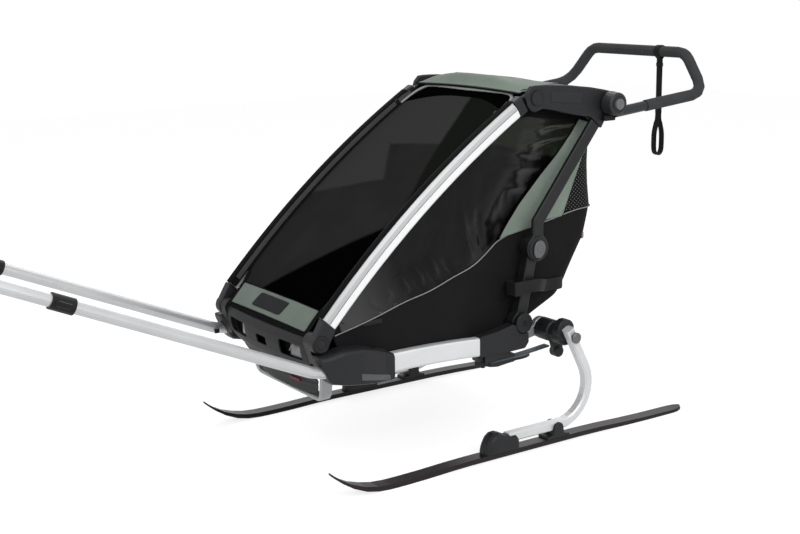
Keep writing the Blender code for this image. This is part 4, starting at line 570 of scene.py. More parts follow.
def turned_piece(name, centre, x, profile, mat, side, sides):
    """Turn steps of (reach beyond X, radius) about an axis along X through a (y, z) centre."""
    rings = [[(side * (x + reach), centre[0] + a, centre[1] + b) for a, b in circle(radius, sides)]
             for reach, radius in profile]
    return loft_piece(name, rings, mat, 35.0)


def plate_piece(name, outline, x0, x1, mat, side, bevel, segments=2):
    """Flat outline in the side plane, from x0 to x1, with its edges eased."""
    obj = loft_piece(name, [[at_x(side * x, p) for p in outline] for x in (x0, x1)], mat, 35.0)
    add_modifier(obj, "BEVEL", width=bevel, segments=segments, limit_method="ANGLE")
    return obj


def stepped_piece(name, place, out, up, outline, steps, mat):
    """Small block over an outline, built up in steps of (scale, height) along out."""
    across = up.cross(out).normalized()
    rings = [[place + across * q[0] * scale + up * q[1] * scale + out * lift for q in outline]
             for scale, lift in steps]
    return loft_piece(name, rings, mat, 40.0)


def bake(obj):
    """Turn a piece's modifiers into its mesh."""
    if not obj.modifiers:
        return
    deps = bpy.context.evaluated_depsgraph_get()
    solid = obj.evaluated_get(deps)
    mesh = bpy.data.meshes.new_from_object(solid, preserve_all_data_layers=True, depsgraph=deps)
    obj.modifiers.clear()
    obj.data = mesh


def ride(body, pieces):
    for obj in pieces:
        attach(obj, body)


def sink(pieces):
    """Soft pieces of the cabin: their modifiers are baked, each gets its own mesh, and they ride on the
    chassis.
    """
    for obj in pieces:
        bake(obj)
        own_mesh(obj)
        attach(obj, "chassis")


def rounded_outline(points, radius, steps=4):
    """Closed outline with each corner turned on a radius."""
    out = []
    count = len(points)
    for i, corner in enumerate(points):
        before = (points[i - 1] - corner).normalized()
        after = (points[(i + 1) % count] - corner).normalized()
        half = 0.5 * before.angle(after)
        reach = radius / math.tan(half)
        start = corner + before * reach
        end = corner + after * reach
        for k in range(steps + 1):
            t = k / steps
            out.append(start * (1 - t) ** 2 + corner * 2 * t * (1 - t) + end * t * t)
    return out


# Lines of the frame

def pillar_circle():
    """Centre and radius of the pillars' bowed centre line."""
    chord = TOP_PIVOT - FOOT_PIVOT
    radius = (0.25 * chord.length ** 2 + PILLAR_BOW ** 2) / (2.0 * PILLAR_BOW)
    outward = Vector((-chord[1], chord[0])).normalized()
    middle = (FOOT_PIVOT + TOP_PIVOT) * 0.5 + outward * PILLAR_OFFSET
    return middle - outward * (radius - PILLAR_BOW), radius


def pillar_line():
    length = (TOP_PIVOT - FOOT_PIVOT).length
    centre, radius = pillar_circle()
    half_angle = math.asin(0.5 * length / radius)
    mid_heading = heading(centre, (FOOT_PIVOT + TOP_PIVOT) * 0.5)

    def at(distance):
        angle = mid_heading + math.degrees(half_angle - distance / radius)
        return polar(centre, radius, angle)

    return at, 2.0 * half_angle * radius


PILLAR_AT, PILLAR_LENGTH = pillar_line()


def pillar_normal(distance):
    step = 0.002
    along = (PILLAR_AT(distance + step) - PILLAR_AT(distance - step)).normalized()
    return Vector((-along[1], along[0]))


def off_pillar(distance, offset):
    """Point beside the pillars' centre line, in front of it where the offset is positive."""
    return PILLAR_AT(distance) + pillar_normal(distance) * offset


def strut_line(z):
    """Y of the struts' centre line at a height."""
    stops = (REAR_PIVOT, MID_PIVOT, STRUT_KNEE, STRUT_SEAT)
    for low, high in zip(stops, stops[1:]):
        if z < high[1]:
            return mix(low[0], high[0], (z - low[1]) / (high[1] - low[1]))
    return STRUT_SEAT[0]


def side_x(y, z):
    """Outer face of a side cover: out at the pillar and rail, drawn in at the struts."""
    near_strut = smooth_step((y - strut_line(z) + 0.24) / 0.19)
    return mix(SIDE_OUTER, SIDE_STRUT_X, near_strut)


def wrinkle(place, scale, seed):
    return noise.noise(Vector((place[0] * scale + seed, place[1] * scale, place[2] * scale)))


# Front cover: dark window in a cloth border between the pillars

COVER_START = -0.004
COVER_TOP = 0.868
COVER_WIDEN = 0.055
COVER_FLAT = 0.23
COVER_SWELL = 0.007
BAND_LOW = 0.0055
BAND_HIGH = 0.0715
FLAP_LIFT = 0.0256
TRIM_LINE = vectors(
    (0.0, 0.861), (0.1, 0.864), (0.165, 0.866), (0.192, 0.862), (0.208, 0.85), (0.2175, 0.833),
    (0.2225, 0.808), (0.2245, 0.778))
COVER_END = 0.925
FLAP_STEPS = (
    (-0.001, 0.0014), (0.002, 0.006), (0.0032, 0.017), (0.0048, 0.024), (0.0075, FLAP_LIFT),
    (0.018, FLAP_LIFT), (0.0262, FLAP_LIFT), (0.0275, FLAP_LIFT - 0.0022))


def cover_half(distance):
    return mix(COVER_LOW_HALF, COVER_FLAT, smooth_step((distance - COVER_WIDEN) / 0.08))


def cover_at(x, distance, lift=0.0):
    """Point on the front cover at a place across and a distance up the pillar line."""
    swell = COVER_SWELL * (1.0 - min(1.0, abs(x) / cover_half(distance)) ** 2)
    rise = mix(COVER_LIFT_LOW, COVER_LIFT_TOP, smooth_step(distance / 0.3))
    return at_x(x, off_pillar(distance, rise + swell + lift))


def cover_rows(low, high, x0, x1, rows, columns, lift, ripple=0.0):
    """Grid on the front cover; x0 and x1 are shares of its half width."""
    def place(s, t):
        distance = mix(low, high, s)
        t = mix(x0, x1, t)
        amount = lift + ripple * wrinkle((t, distance, 0.0), 7.0, 3.0) * (1.0 - abs(t) ** 6)
        return cover_at(t * cover_half(distance), distance, amount)

    return grid(rows, columns, place)


def make_window_head():
    """Dark cloth at the window's top, between its curved lower edge and the border."""
    def place(s, t):
        x = mix(-0.2215, 0.2215, t)
        inner = 0.832 - 0.9 * x * x + 0.01 * smooth_step(x / 0.12)
        outer = 0.864 - 0.052 * smooth_step((abs(x) - 0.18) / 0.046)
        return cover_at(x, mix(inner, outer, s), 0.0014)

    return sheet_piece("window_head", grid(6, 40, place), "head_cloth", 0.0016)


def make_window_trim():
    """Zip tape round the window: a round grey bar over the top and flat tape down both sides."""
    half = smooth_line(TRIM_LINE, 30)
    over = [Vector((-p[0], p[1])) for p in reversed(half[1:])] + half
    bar = [cover_at(p[0], p[1], 0.0046) for p in over]
    pieces = [tube_piece("window_bar", bar, 0.005, "zip_grey", 12, False, 0.62)]
    for label, side in SIDES:
        def wall(x, distance, lift):
            return at_x(side * (COVER_FLAT + x), off_pillar(distance, lift))

        inward = Vector((-side, 0.0, 0.0))
        runs = span(40, lambda t: mix(0.768, BAND_HIGH + 0.002, t))
        tape = [wall(0.0012, run, 0.015) for run in runs]
        edge = [cover_at(side * (cover_half(run) - 0.0016), run, 0.0012) for run in runs]
        pull = [wall(0.0002, run, 0.015) for run in (0.776, 0.766)]
        turn = [wall(0.0008, 0.778, 0.015), wall(0.0, 0.8, 0.0152), wall(-0.006, 0.822, 0.014)]
        pieces += [
            ribbon_piece("window_tape_" + label, tape, inward, 0.015, 0.0014, "tape_grey"),
            tube_piece("window_edge_" + label, edge, 0.0019, "border_cloth", 6),
            ribbon_piece("zip_end_" + label, pull, inward, 0.019, 0.004, "tab_black"),
            ribbon_piece("bar_end_" + label, smooth_line(turn, 12), inward, 0.013, 0.002, "tape_grey")]
    return pieces


def make_flap(label, side):
    """Cloth edge of the cover, wrapped over the front face of a pillar."""
    rows = []
    for distance in span(44, lambda t: mix(0.0505, PILLAR_LENGTH - 0.0665, t)):
        base = cover_at(side * COVER_FLAT, distance)
        starts = (Vector((base.y, base.z)), PILLAR_AT(distance))
        normal = pillar_normal(distance)
        rows.append([at_x(base.x + side * x, starts[lift > 0.01] + normal * lift) for x, lift in FLAP_STEPS])
    flap = sheet_piece("pillar_flap_" + label, rows, "border_cloth", 0.0012)
    declare_sheet(rows)
    return flap


def make_front_cover():
    film_rows = cover_rows(BAND_HIGH - 0.006, COVER_TOP, -0.985, 0.985, 44, 24, 0.0, 0.0009)
    window = sheet_piece("front_window", film_rows, "front_film", 0.0008)
    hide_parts("front_cover")
    trim = [make_window_head()] + make_window_trim()
    flaps = []
    for label, side in SIDES:
        flaps.append(make_flap(label, side))
        low = cover_rows(COVER_START, 0.11, side * COVER_END, side, 10, 3, 0.002)
        trim.append(sheet_piece("cover_corner_" + label, low, "border_cloth", 0.0016))
    band_rows = cover_rows(BAND_LOW, BAND_HIGH, -COVER_END, COVER_END, 8, 28, 0.0034, 0.0008)
    # The front band's cloth carries painted shade.
    band = sheet_piece("front_band", band_rows, "band_cloth_shaded", 0.0016)
    band_trim = []
    for name, distance, radius in (("hem", BAND_LOW, 0.002), ("seam", BAND_HIGH, 0.0012)):
        half = COVER_END * cover_half(distance)
        line = span(30, lambda t: cover_at(mix(-half, half, t), distance, 0.004))
        band_trim.append(tube_piece("front_band_" + name, line, radius, "border_cloth", 8))

    def patch_point(s, t):
        return cover_at(mix(-0.083, 0.066, t) + mix(-0.006, 0.006, s), mix(0.02, 0.061, s), 0.0052)

    band_trim.append(sheet_piece("front_band_patch", grid(4, 10, patch_point), "patch_cloth", 0.0016))
    low_rows = cover_rows(COVER_START, BAND_LOW + 0.004, -0.94, 0.94, 3, 24, 0.0004)
    skirt = sheet_piece("front_skirt", low_rows, "border_cloth", 0.0016)
    declare_sheet(film_rows)
    declare_sheet(band_rows)
    declare_sheet(low_rows)
    ride("pillar_frame", [window, band, skirt] + trim + band_trim + flaps)


# Roof

ROOF_FRONT_Y = 0.6815
ROOF_REAR_Y = 0.941
ROOF_LIP_Z = 0.9475
ROOF_CROWN_FRONT = 0.034
ROOF_CROWN_REAR = 0.002
ROOF_TURN = 0.024
TAIL_HALF = 0.2
TAIL_LOW = (0.9475, 0.872)


def canopy_edge(y):
    s = smooth_step((y - TOP_PIVOT[0] + 0.03) / 0.27)
    return mix(TOP_PIVOT[1] + 0.019, HANDLE_PIVOT[1] + 0.034, s) + 0.018 * math.sin(math.pi * s)


def canopy_point(s, t, lift=0.0):
    """Point on the roof cloth: s from its front edge to its rear one, t from side to side."""
    y = mix(ROOF_FRONT_Y, ROOF_REAR_Y, s)
    rise = math.sin(0.5 * math.pi * min(1.0, (y - ROOF_FRONT_Y) / ROOF_TURN))
    crown = mix(ROOF_CROWN_FRONT, ROOF_CROWN_REAR, smooth_step(s / 0.62)) * rise
    side_drop = 0.002 * smooth_step((abs(t) - 0.85) / 0.15)
    top = canopy_edge(y) + crown * (1.0 - abs(t) ** 2.4) - side_drop
    z = mix(ROOF_LIP_Z + 0.0055 * (1.0 - t * t), top, rise) + lift
    return Vector((t * CANOPY_HALF, y, z))


def make_canopy():
    def cloth(s, t):
        t = mix(-1.0, 1.0, t)
        p = canopy_point(s, t)
        p.z += 0.0012 * wrinkle(p, 13.0, 8.0) * (1.0 - t ** 6) * smooth_step(s / 0.1)
        return p

    def line(reach, rise=0.0014):
        """Line across the roof, or along one side of it, for a seam or hem."""
        return span(40, lambda k: canopy_point(*reach(k), rise))

    shares = [0.0, 0.008, 0.018, 0.032, 0.048, 0.066, 0.085, 0.105] + span(30, lambda k: mix(0.13, 1.0, k))
    full = [span(40, lambda t: cloth(s, t)) for s in shares]
    full.insert(0, [p + Vector((0.0, 0.01, -0.0015)) for p in full[0]])
    roof = sheet_piece("canopy_cloth", full, "green_cloth")
    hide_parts("canopy")
    hem = span(60, lambda k: canopy_point(0.0, mix(-0.99, 0.99, k), -0.0006) + Vector((0.0, -0.0006, 0.0)))
    gutter = [p + Vector((0.0, 0.001, -0.0034)) for p in hem]
    trim = [
        tube_piece("canopy_front_hem", hem, 0.0016, "hem_green", 8),
        tube_piece("canopy_gutter", gutter, 0.0022, "border_cloth", 8)]
    for label, side in reversed(SIDES):
        seam = line(lambda k: (mix(0.1, 0.97, k), side * 0.36))
        trim.append(tube_piece("canopy_seam_" + label, seam, 0.0009, "green_cloth", 6))
    rear = line(lambda k: (0.985, mix(-0.985, 0.985, k)), 0.0012)
    trim.append(tube_piece("canopy_rear_hem", rear, 0.0018, "border_cloth", 8))
    for label, side in SIDES:
        edge = line(lambda k: (mix(0.05, 0.98, k), side * 0.972))
        trim.append(tube_piece("canopy_edge_" + label, edge, 0.0012, "border_cloth", 6))

    def tail_point(s, t):
        t = mix(-1.0, 1.0, t)
        p = canopy_point(0.985, t * 0.985, -0.001).lerp(at_x(t * TAIL_HALF, TAIL_LOW), s)
        p.y += 0.003 * math.sin(math.pi * s) * (1.0 - t * t)
        return p

    tail_rows = grid(8, 30, tail_point)
    tail = sheet_piece("canopy_tail", tail_rows, "black_cloth")
    declare_sheet(tail_rows)
    declare_sheet(full)
    ride("roof_frame", [roof, tail] + trim)


# Side covers

LOWER_SEAM = vectors(
    (0.092, 0.3814), (0.1082, 0.3851), (0.1617, 0.397), (0.2177, 0.4112), (0.3043, 0.4364), (0.3844, 0.4541),
    (0.4661, 0.482), (0.5364, 0.5032), (0.5937, 0.5316), (0.6232, 0.5479), (0.6621, 0.5594), (0.7066, 0.5716),
    (0.7461, 0.5747))
WINDOW_TOP = vectors(
    (0.4491, 0.7953), (0.5169, 0.8439), (0.6158, 0.878), (0.708, 0.8871), (0.8504, 0.8662), (0.93, 0.85))
STRIP_FRONT = vectors(
    (0.6326, 0.5555), (0.7053, 0.6427), (0.7825, 0.7176), (0.8393, 0.7677), (0.8894, 0.8217), (0.918, 0.8583))
STRIP_FOOT = Vector((0.7554, 0.5745))
TAG_CENTRE = Vector((0.2055, 0.3978))
TAG_HALF = (0.0287, 0.0065)
FILM_FOLDS = (
    ((0.69, 0.852), (0.78, 0.848), (0.905, 0.846), 0.007, 0.005),
    ((0.785, 0.838), (0.845, 0.836), (0.905, 0.836), 0.006, -0.0045),
    ((0.74, 0.872), (0.8, 0.868), (0.86, 0.872), 0.006, 0.004),
    ((0.7, 0.81), (0.78, 0.812), (0.885, 0.815), 0.0065, 0.0045),
    ((0.755, 0.79), (0.82, 0.8), (0.87, 0.806), 0.005, -0.004),
    ((0.6, 0.79), (0.69, 0.772), (0.8, 0.748), 0.009, -0.005),
    ((0.64, 0.755), (0.7, 0.742), (0.77, 0.735), 0.009, 0.005),
    ((0.64, 0.7), (0.69, 0.69), (0.73, 0.682), 0.008, 0.004),
    ((0.236, 0.414), (0.214, 0.43), (0.196, 0.444), 0.006, -0.009),
    ((0.222, 0.422), (0.205, 0.444), (0.195, 0.462), 0.0085, 0.0075),
    ((0.284, 0.43), (0.27, 0.44), (0.256, 0.454), 0.006, -0.009),
    ((0.27, 0.434), (0.254, 0.464), (0.24, 0.482), 0.009, 0.0083),
    ((0.326, 0.444), (0.315, 0.453), (0.296, 0.468), 0.0065, -0.0097),
    ((0.316, 0.45), (0.305, 0.474), (0.286, 0.5), 0.0095, 0.009),
    ((0.37, 0.455), (0.358, 0.466), (0.34, 0.482), 0.0065, -0.0097),
    ((0.36, 0.462), (0.35, 0.494), (0.332, 0.515), 0.0095, 0.0083),
    ((0.414, 0.47), (0.402, 0.482), (0.384, 0.5), 0.007, -0.0097),
    ((0.406, 0.478), (0.396, 0.508), (0.382, 0.535), 0.01, 0.0075),
    ((0.466, 0.488), (0.452, 0.502), (0.43, 0.528), 0.007, -0.0075),
    ((0.52, 0.53), (0.5, 0.585), (0.49, 0.64), 0.011, 0.0067),
    ((0.56, 0.56), (0.548, 0.61), (0.545, 0.65), 0.009, -0.006),
)


def side_bounds():
    """Lower and upper edge of a side cover's panel as broken lines, from front to rear."""
    low = vectors(
        (0.112, RAIL_FRONT_TOP + 0.006), (RAIL_FRONT_Y, RAIL_FRONT_TOP - 0.008),
        (RAIL_REAR_Y - 0.01, RAIL_REAR_TOP - 0.01), (0.56, 0.2945), (0.625, 0.2905), (0.69, 0.308))
    low += [Vector((strut_line(z) + SEAM_Y, z)) for z in (0.335, 0.42, 0.5, 0.5745)]
    edge = [off_pillar(distance, -0.01) for distance in (0.055, 0.075)]
    return low, edge + smooth_line(LOWER_SEAM, 40)[3:] + [STRIP_FOOT]


def side_surface(p, lift, side):
    return at_x(side * (side_x(p[0], p[1]) + lift), p)


def distance_to(line, p):
    """Shortest way from a point to a broken line in the side plane, and the share along it."""
    best = (1.0, 0.0)
    for k, (a, b) in enumerate(zip(line, line[1:])):
        run = b - a
        t = min(1.0, max(0.0, (p - a).dot(run) / run.length_squared))
        gap = (p - a - run * t).length
        if gap < best[0]:
            best = (gap, (k + t) / (len(line) - 1))
    return best


def folds(p, edge, side):
    """Depth of the film's creases: a few long ones, and soft waves between them."""
    depth = 0.0022 * wrinkle((p[0], p[1] * 0.6, 0.0), 17.0, 2.0 + side)
    depth += 0.0007 * wrinkle((p[0] * 1.3, p[1], 0.4), 34.0, 5.0)
    for a, b, c, width, height in FILM_FOLDS:
        gap, share = distance_to(vectors(a, b, c), p)
        if gap < 3.0 * width:
            depth += height * math.exp(-(gap / width) ** 2) * math.sin(math.pi * mix(0.12, 0.88, share))
    return depth * edge


def window_edge(s):
    """Outer edge of a side window at a share of its length, up the pillar and along the beam."""
    return along_points([off_pillar(d, -0.03) for d in (0.075, 0.16, 0.25, 0.35, 0.45)] + WINDOW_TOP, s)


def frame_edge(s):
    """Where the black border round a side window goes under the pillar and the beam."""
    line = [off_pillar(d, -0.01) for d in (0.075, 0.25, 0.45, 0.65, PILLAR_LENGTH - 0.06)]
    line += vectors((TOP_PIVOT[0] + 0.055, TOP_PIVOT[1] - 0.03), (0.85, 0.895), (0.945, 0.868))
    return along_points(line, s)


def window_rows(side):
    """Grids of a side window and of the border between it and the frame."""
    seam = smooth_line(LOWER_SEAM, 60)
    window = []
    border = []
    for s in span(110, float):
        a, b, c = along_points(seam, mix(0.03, 0.97, s)), window_edge(s), frame_edge(s)
        ends = min(1.0, 5.0 * math.sin(math.pi * mix(0.02, 0.98, s)))
        row = []
        for t in span(60, float):
            p = a.lerp(b, t)
            bulge = math.sin(math.pi * t)
            depth = folds(p, min(1.0, 6.0 * bulge) * ends, side)
            row.append(side_surface(p, depth - 0.001 * bulge, side))
        window.append(row)
        stops = (b.lerp(a, 0.012), b.lerp(c, 0.33), b.lerp(c, 0.67), c)
        border.append([side_surface(q, 0.0008, side) for q in stops])
    return window, border


def make_side_cover(label, side):
    low, high = side_bounds()

    def panel_point(s, t):
        p = along_points(low, s).lerp(along_points(high, s), t)
        bulge = math.sin(math.pi * t)
        free = min(1.0, 3.0 * bulge * math.sin(math.pi * s))
        soft = 0.0018 * wrinkle((p[0], p[1], 0.2), 9.0, 6.0 + side) * free
        return side_surface(p, soft - 0.004 * bulge - 0.0012, side)

    rows = grid(72, 20, panel_point)
    panel = sheet_piece("side_panel_" + label, rows, "black_cloth")
    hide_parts("side_cover_" + label)
    window, border = window_rows(side)
    pane = sheet_piece("side_window_" + label, window, "side_film", 0.0008, 0)
    rim = sheet_piece("window_border_" + label, border, "border_cloth", 0.0014)
    rear = [STRIP_FOOT] + [Vector((strut_line(z) + 0.034, z)) for z in (0.62, 0.68, 0.74, 0.8, 0.846)]

    def strip_point(s, t):
        p = along_points(STRIP_FRONT, s).lerp(along_points(rear, s), t)
        return side_surface(p, 0.003 + 0.0012 * math.sin(math.pi * t), side)

    strip = grid(40, 8, strip_point)
    green = sheet_piece("side_strip_" + label, strip, "green_cloth")
    line = [side_surface(p, 0.0016, side) for p in smooth_line(LOWER_SEAM, 60)]
    trim = [tube_piece("side_piping_" + label, line, 0.0015, "silver_piping", 8), rim]
    edge = [row[0] + Vector((side * 0.0004, 0.0, 0.0)) for row in strip]
    piping = tube_piece("strip_piping_" + label, edge, 0.001, "border_cloth", 6)
    along = Vector((1.0, 0.02)).normalized()
    up = Vector((-along[1], along[0]))

    def tag_point(s, t):
        p = TAG_CENTRE + along * mix(-TAG_HALF[0], TAG_HALF[0], t) + up * mix(-TAG_HALF[1], TAG_HALF[1], s)
        return side_surface(p, 0.001, side)

    trim.append(sheet_piece("side_tag_" + label, grid(3, 6, tag_point), "tag_cloth", 0.001, 0))
    declare_sheet(rows)
    declare_sheet(window)
    declare_sheet(strip)
    sink([panel, pane, green, piping] + trim)


# Rear cover

REAR_PROFILE = vectors(
    (0.945, 0.885), (0.975, 0.83), (0.99, 0.785), (0.988, 0.728), (0.99, 0.671), (1.0, 0.601),
    (0.98, 0.522), (0.948, 0.472), (0.904, 0.398), (0.88, 0.366), (0.785, 0.322))
REAR_HALF = SIDE_STRUT_X - 0.0035


def rear_plan(p):
    """Half plan of the rear cover at one level of its profile, from the strut round to the middle."""
    front_y = strut_line(p[1]) + SEAM_Y + 0.0059
    depth = max(0.012, p[0] - front_y)
    corner = min(0.06, 0.9 * depth)
    centre = Vector((REAR_HALF - corner, front_y + depth - corner))
    plan = vectors((REAR_HALF, front_y), (REAR_HALF, mix(front_y, centre[1], 0.5)), (REAR_HALF, centre[1]))
    plan += [polar(centre, corner, degrees) for degrees in (15.0, 30.0, 45.0, 60.0, 75.0, 90.0)]
    return plan + vectors((centre[0] * 0.5, front_y + depth + 0.002), (0.0, front_y + depth + 0.003))


def rear_point(level, t, lift=0.0):
    """Point on the rear cover: level from 0 at the top to 1, t from -1 to 1 round the back."""
    p = along_points(REAR_PROFILE, level)
    plan = rear_plan(p)
    q = along_points(plan, 1.0 - abs(t))
    step = along_points(plan, min(1.0, 1.0 - abs(t) + 0.01)) - along_points(plan, max(0.0, 1.0 - abs(t) - 0.01))
    normal = Vector((step[1], -step[0])).normalized()
    if normal[0] + normal[1] < 0.0:
        normal = -normal
    q = q + normal * lift
    return Vector((q[0] if t >= 0.0 else -q[0], q[1], p[1]))


def rear_rows(l0, l1, reach, rows, columns, lift, ripple):
    def place(s, t):
        t = mix(-reach, reach, t)
        p = rear_point(mix(l0, l1, s), t, lift)
        p.y += ripple * wrinkle(p, 12.0, 4.0) * (1.0 - abs(t)) * math.sin(math.pi * s)
        return p

    return grid(rows, columns, place)


def rear_level(z):
    """Level on the rear cover's profile at a height."""
    low, high = 0.0, 1.0
    for _ in range(20):
        middle = 0.5 * (low + high)
        if along_points(REAR_PROFILE, middle)[1] > z:
            low = middle
        else:
            high = middle
    return 0.5 * (low + high)


def make_rear_cover():
    back = rear_rows(0.0, 1.0, 1.0, 48, 48, -0.0012, 0.006)
    cover = sheet_piece("rear_panel", back, "black_cloth")
    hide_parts("rear_cover")
    net_top = rear_level(0.842)
    net = rear_rows(net_top, rear_level(0.604), 0.99, 30, 60, 0.0016, 0.006)
    pocket = sheet_piece("rear_net", net, "pocket_net", 0.0008)

    def seam_point(t):
        t = mix(-0.97, 0.97, t)
        return rear_point(rear_level(0.581 + 0.025 * smooth_step((1.0 - abs(t)) / 0.45)), t, 0.0034)

    hem = span(60, lambda t: rear_point(net_top, mix(-0.97, 0.97, t), 0.0026))
    trim = [
        tube_piece("rear_net_top", hem, 0.0022, "border_cloth", 8),
        tube_piece("rear_piping", span(90, seam_point), 0.0015, "silver_piping", 6)]
    for label, side in reversed(SIDES):
        line = span(30, lambda t: rear_point(mix(0.58, 0.97, t), side * 0.35, 0.001))
        trim.append(tube_piece("rear_seam_" + label, line, 0.0008, "border_cloth", 6))
    greens = []
    for label, side in SIDES:
        def strip_point(s, t):
            z = mix(0.838, 0.586, s)
            y = mix(strut_line(z) + 0.028, mix(0.972, 0.864, s), t)
            return Vector((side * (REAR_HALF + 0.0046), y, z + 0.005 * s * t))

        strip = grid(30, 5, strip_point)
        green = sheet_piece("rear_strip_" + label, strip, "green_cloth")
        edge = [row[-1] + Vector((side * 0.0006, 0.0, 0.0)) for row in strip]
        greens.append((green, strip, tube_piece("rear_strip_edge_" + label, edge, 0.0009, "border_cloth", 6)))
    declare_sheet(back)
    declare_sheet(net)
    for green, strip, edge in greens:
        declare_sheet(strip)
    corners = vectors((-0.011, -0.011), (0.011, -0.011), (0.011, 0.011), (-0.011, 0.011))
    outline = rounded_outline(corners, 0.004)
    for label, side in SIDES:
        out = Vector((side * 0.86, 0.5, 0.0)).normalized()
        place = rear_point(rear_level(0.523), side * 0.5, 0.001)
        steps = ((0.8, -0.005), (0.8, -0.0012), (0.7, -0.0004), (0.4, 0.0))
        trim.append(stepped_piece("rear_reflector_" + label, place, out, UP, outline, steps, "reflector_red"))
    sink([cover, pocket] + [green for green, _, _ in greens] + [edge for _, _, edge in greens] + trim)


# Seat

PAD_VOXEL = 0.006
PAD_LIMIT = 0.006
CHANNEL = 0.006
CHANNEL_X = 0.095


def inflate(obj):
    """Pad a copy of a solid with air pressure, as stuffed cloth swells, and keep each point near its start."""
    start = [v.co.copy() for v in obj.data.vertices]
    cloth = add_modifier(obj, "CLOTH")
    cloth.settings.use_pressure = True
    cloth.settings.uniform_pressure_force = 4.0
    cloth.settings.effector_weights.gravity = 0.0
    cloth.settings.quality = 5
    scene = bpy.context.scene
    for number in range(1, 21):
        scene.frame_set(number)
    bake(obj)
    scene.frame_set(1)
    for vertex, before in zip(obj.data.vertices, start):
        move = vertex.co - before
        if move.length > PAD_LIMIT:
            vertex.co = before + move.normalized() * PAD_LIMIT


def make_seat():
    """Padded seat from the solid's own form, with sewn channels."""
    pad = bpy.data.objects.new("seat_pad", NODES["seat"].data.copy())
    bpy.context.scene.collection.objects.link(pad)
    pad.data.materials.clear()
    pad.data.materials.append(MATERIALS["seat_cloth"])
    add_modifier(pad, "REMESH", mode="VOXEL", voxel_size=PAD_VOXEL)
    bake(pad)
    inflate(pad)
    for vertex in pad.data.vertices:
        x, z = vertex.co.x, vertex.co.z
        channel = max(math.exp(-((x - line) / CHANNEL) ** 2) for line in (-CHANNEL_X, CHANNEL_X))
        if abs(x) < CHANNEL_X:
            channel = max([channel] + [math.exp(-((z - line) / CHANNEL) ** 2) for line in (0.48, 0.6, 0.72)])
        vertex.co -= vertex.normal * 0.004 * channel
    pad.data.shade_smooth()
    add_modifier(pad, "SUBSURF", levels=1, render_levels=1)
    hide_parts("seat")
    forward = Vector((0.0, -1.0, 0.25))
    upward = Vector((0.0, -0.6, 0.8))
    harness = []
    for label, side in SIDES:
        path = smooth_line(sided(side, (
            (0.06, 0.622, 0.7), (0.058, 0.6, 0.64), (0.055, 0.582, 0.58), (0.048, 0.56, 0.52),
            (0.036, 0.536, 0.465), (0.02, 0.508, 0.425))), 24)
        pad_path = [p + Vector((0.0, -0.0035, 0.001)) for p in path[1:13]]
        hip = smooth_line(sided(side, (
            (0.145, 0.53, 0.392), (0.11, 0.515, 0.398), (0.07, 0.508, 0.404), (0.03, 0.506, 0.412))), 16)
        harness += [
            ribbon_piece("harness_strap_" + label, path, forward, 0.025, 0.0024, "webbing"),
            ribbon_piece("harness_pad_" + label, pad_path, forward, 0.042, 0.007, "seat_lining"),
            ribbon_piece("harness_hip_" + label, hip, upward, 0.025, 0.0024, "webbing")]
    crotch = smooth_line(vectors(
        (0.0, 0.44, 0.388), (0.0, 0.47, 0.392), (0.0, 0.494, 0.402), (0.0, 0.506, 0.412)), 12)
    harness.append(ribbon_piece("harness_crotch", crotch, upward, 0.03, 0.0024, "webbing"))
    corners = vectors((-0.026, -0.022), (0.026, -0.022), (0.02, 0.024), (-0.02, 0.024))
    outline = rounded_outline(corners, 0.008)
    out = Vector((0.0, -0.85, 0.52)).normalized()
    steps = ((0.92, -0.006), (1.0, -0.003), (1.0, 0.003), (0.88, 0.006), (0.5, 0.0066))
    place = Vector((0.0, 0.504, 0.42))
    up = out.cross(ACROSS)
    harness.append(stepped_piece("harness_buckle", place, out, up, outline, steps, "button_grey"))
    sink([pad] + harness)


# Webbing that replaces soft solids

GRIP_R = 0.0162
STRAP_X = 0.096
STRAP_W = 0.02
STRAP_THICK = 0.0022
STRAP_DROP = 0.31
STRAP_LOOP = 0.115
STRAP_LOOP_HALF = 0.016


def make_wrist_strap():
    centre = Vector((HANDLE_TOP.y, HANDLE_TOP.z))
    radius = GRIP_R + 2.0 * SEAT_GAP + 0.5 * STRAP_THICK
    low = -STRAP_DROP
    split = low + STRAP_LOOP
    neck = 0.5 * STRAP_THICK + 0.0008
    right = smooth_line(vectors(
        (neck, -1.25 * radius), (neck, split + 0.01), (mix(neck, STRAP_LOOP_HALF, 0.4), split - 0.018),
        (0.92 * STRAP_LOOP_HALF, split - 0.045), (STRAP_LOOP_HALF, split - 0.07),
        (0.94 * STRAP_LOOP_HALF, low + 0.018), (0.6 * STRAP_LOOP_HALF, low + 0.005), (0.0, low)), 40)
    wrap = span(20, lambda t: polar((0.0, 0.0), radius, mix(240.0, -60.0, t)))
    path = wrap + right + [Vector((-p[0], p[1])) for p in reversed(right[:-1])]
    steps = [path[(i + 1) % len(path)] - path[i - 1] for i in range(len(path))]
    outs = [Vector((0.0, -step[1], step[0])).normalized() for step in steps]
    places = [at_x(STRAP_X, centre + p) for p in path]
    strap = ribbon_piece("strap_webbing", places, outs, STRAP_W, STRAP_THICK, "webbing", True)
    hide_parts("wrist_strap")

    def hanging(top, length, count):
        """Straight run down the strap from a place below the grip."""
        return span(count, lambda t: Vector((STRAP_X, centre[0], centre[1] + top + length * t)))

    stitch = hanging(split + 0.01, 0.022, 4)
    keeper = hanging(-1.9 * radius, -0.01, 2)
    ride("wrist_strap", [
        strap, ribbon_piece("strap_stitching", stitch, FORWARD, STRAP_W + 0.0016, 0.0074, "webbing"),
        ribbon_piece("strap_keeper", keeper, FORWARD, STRAP_W + 0.003, 0.009, "rubber")])


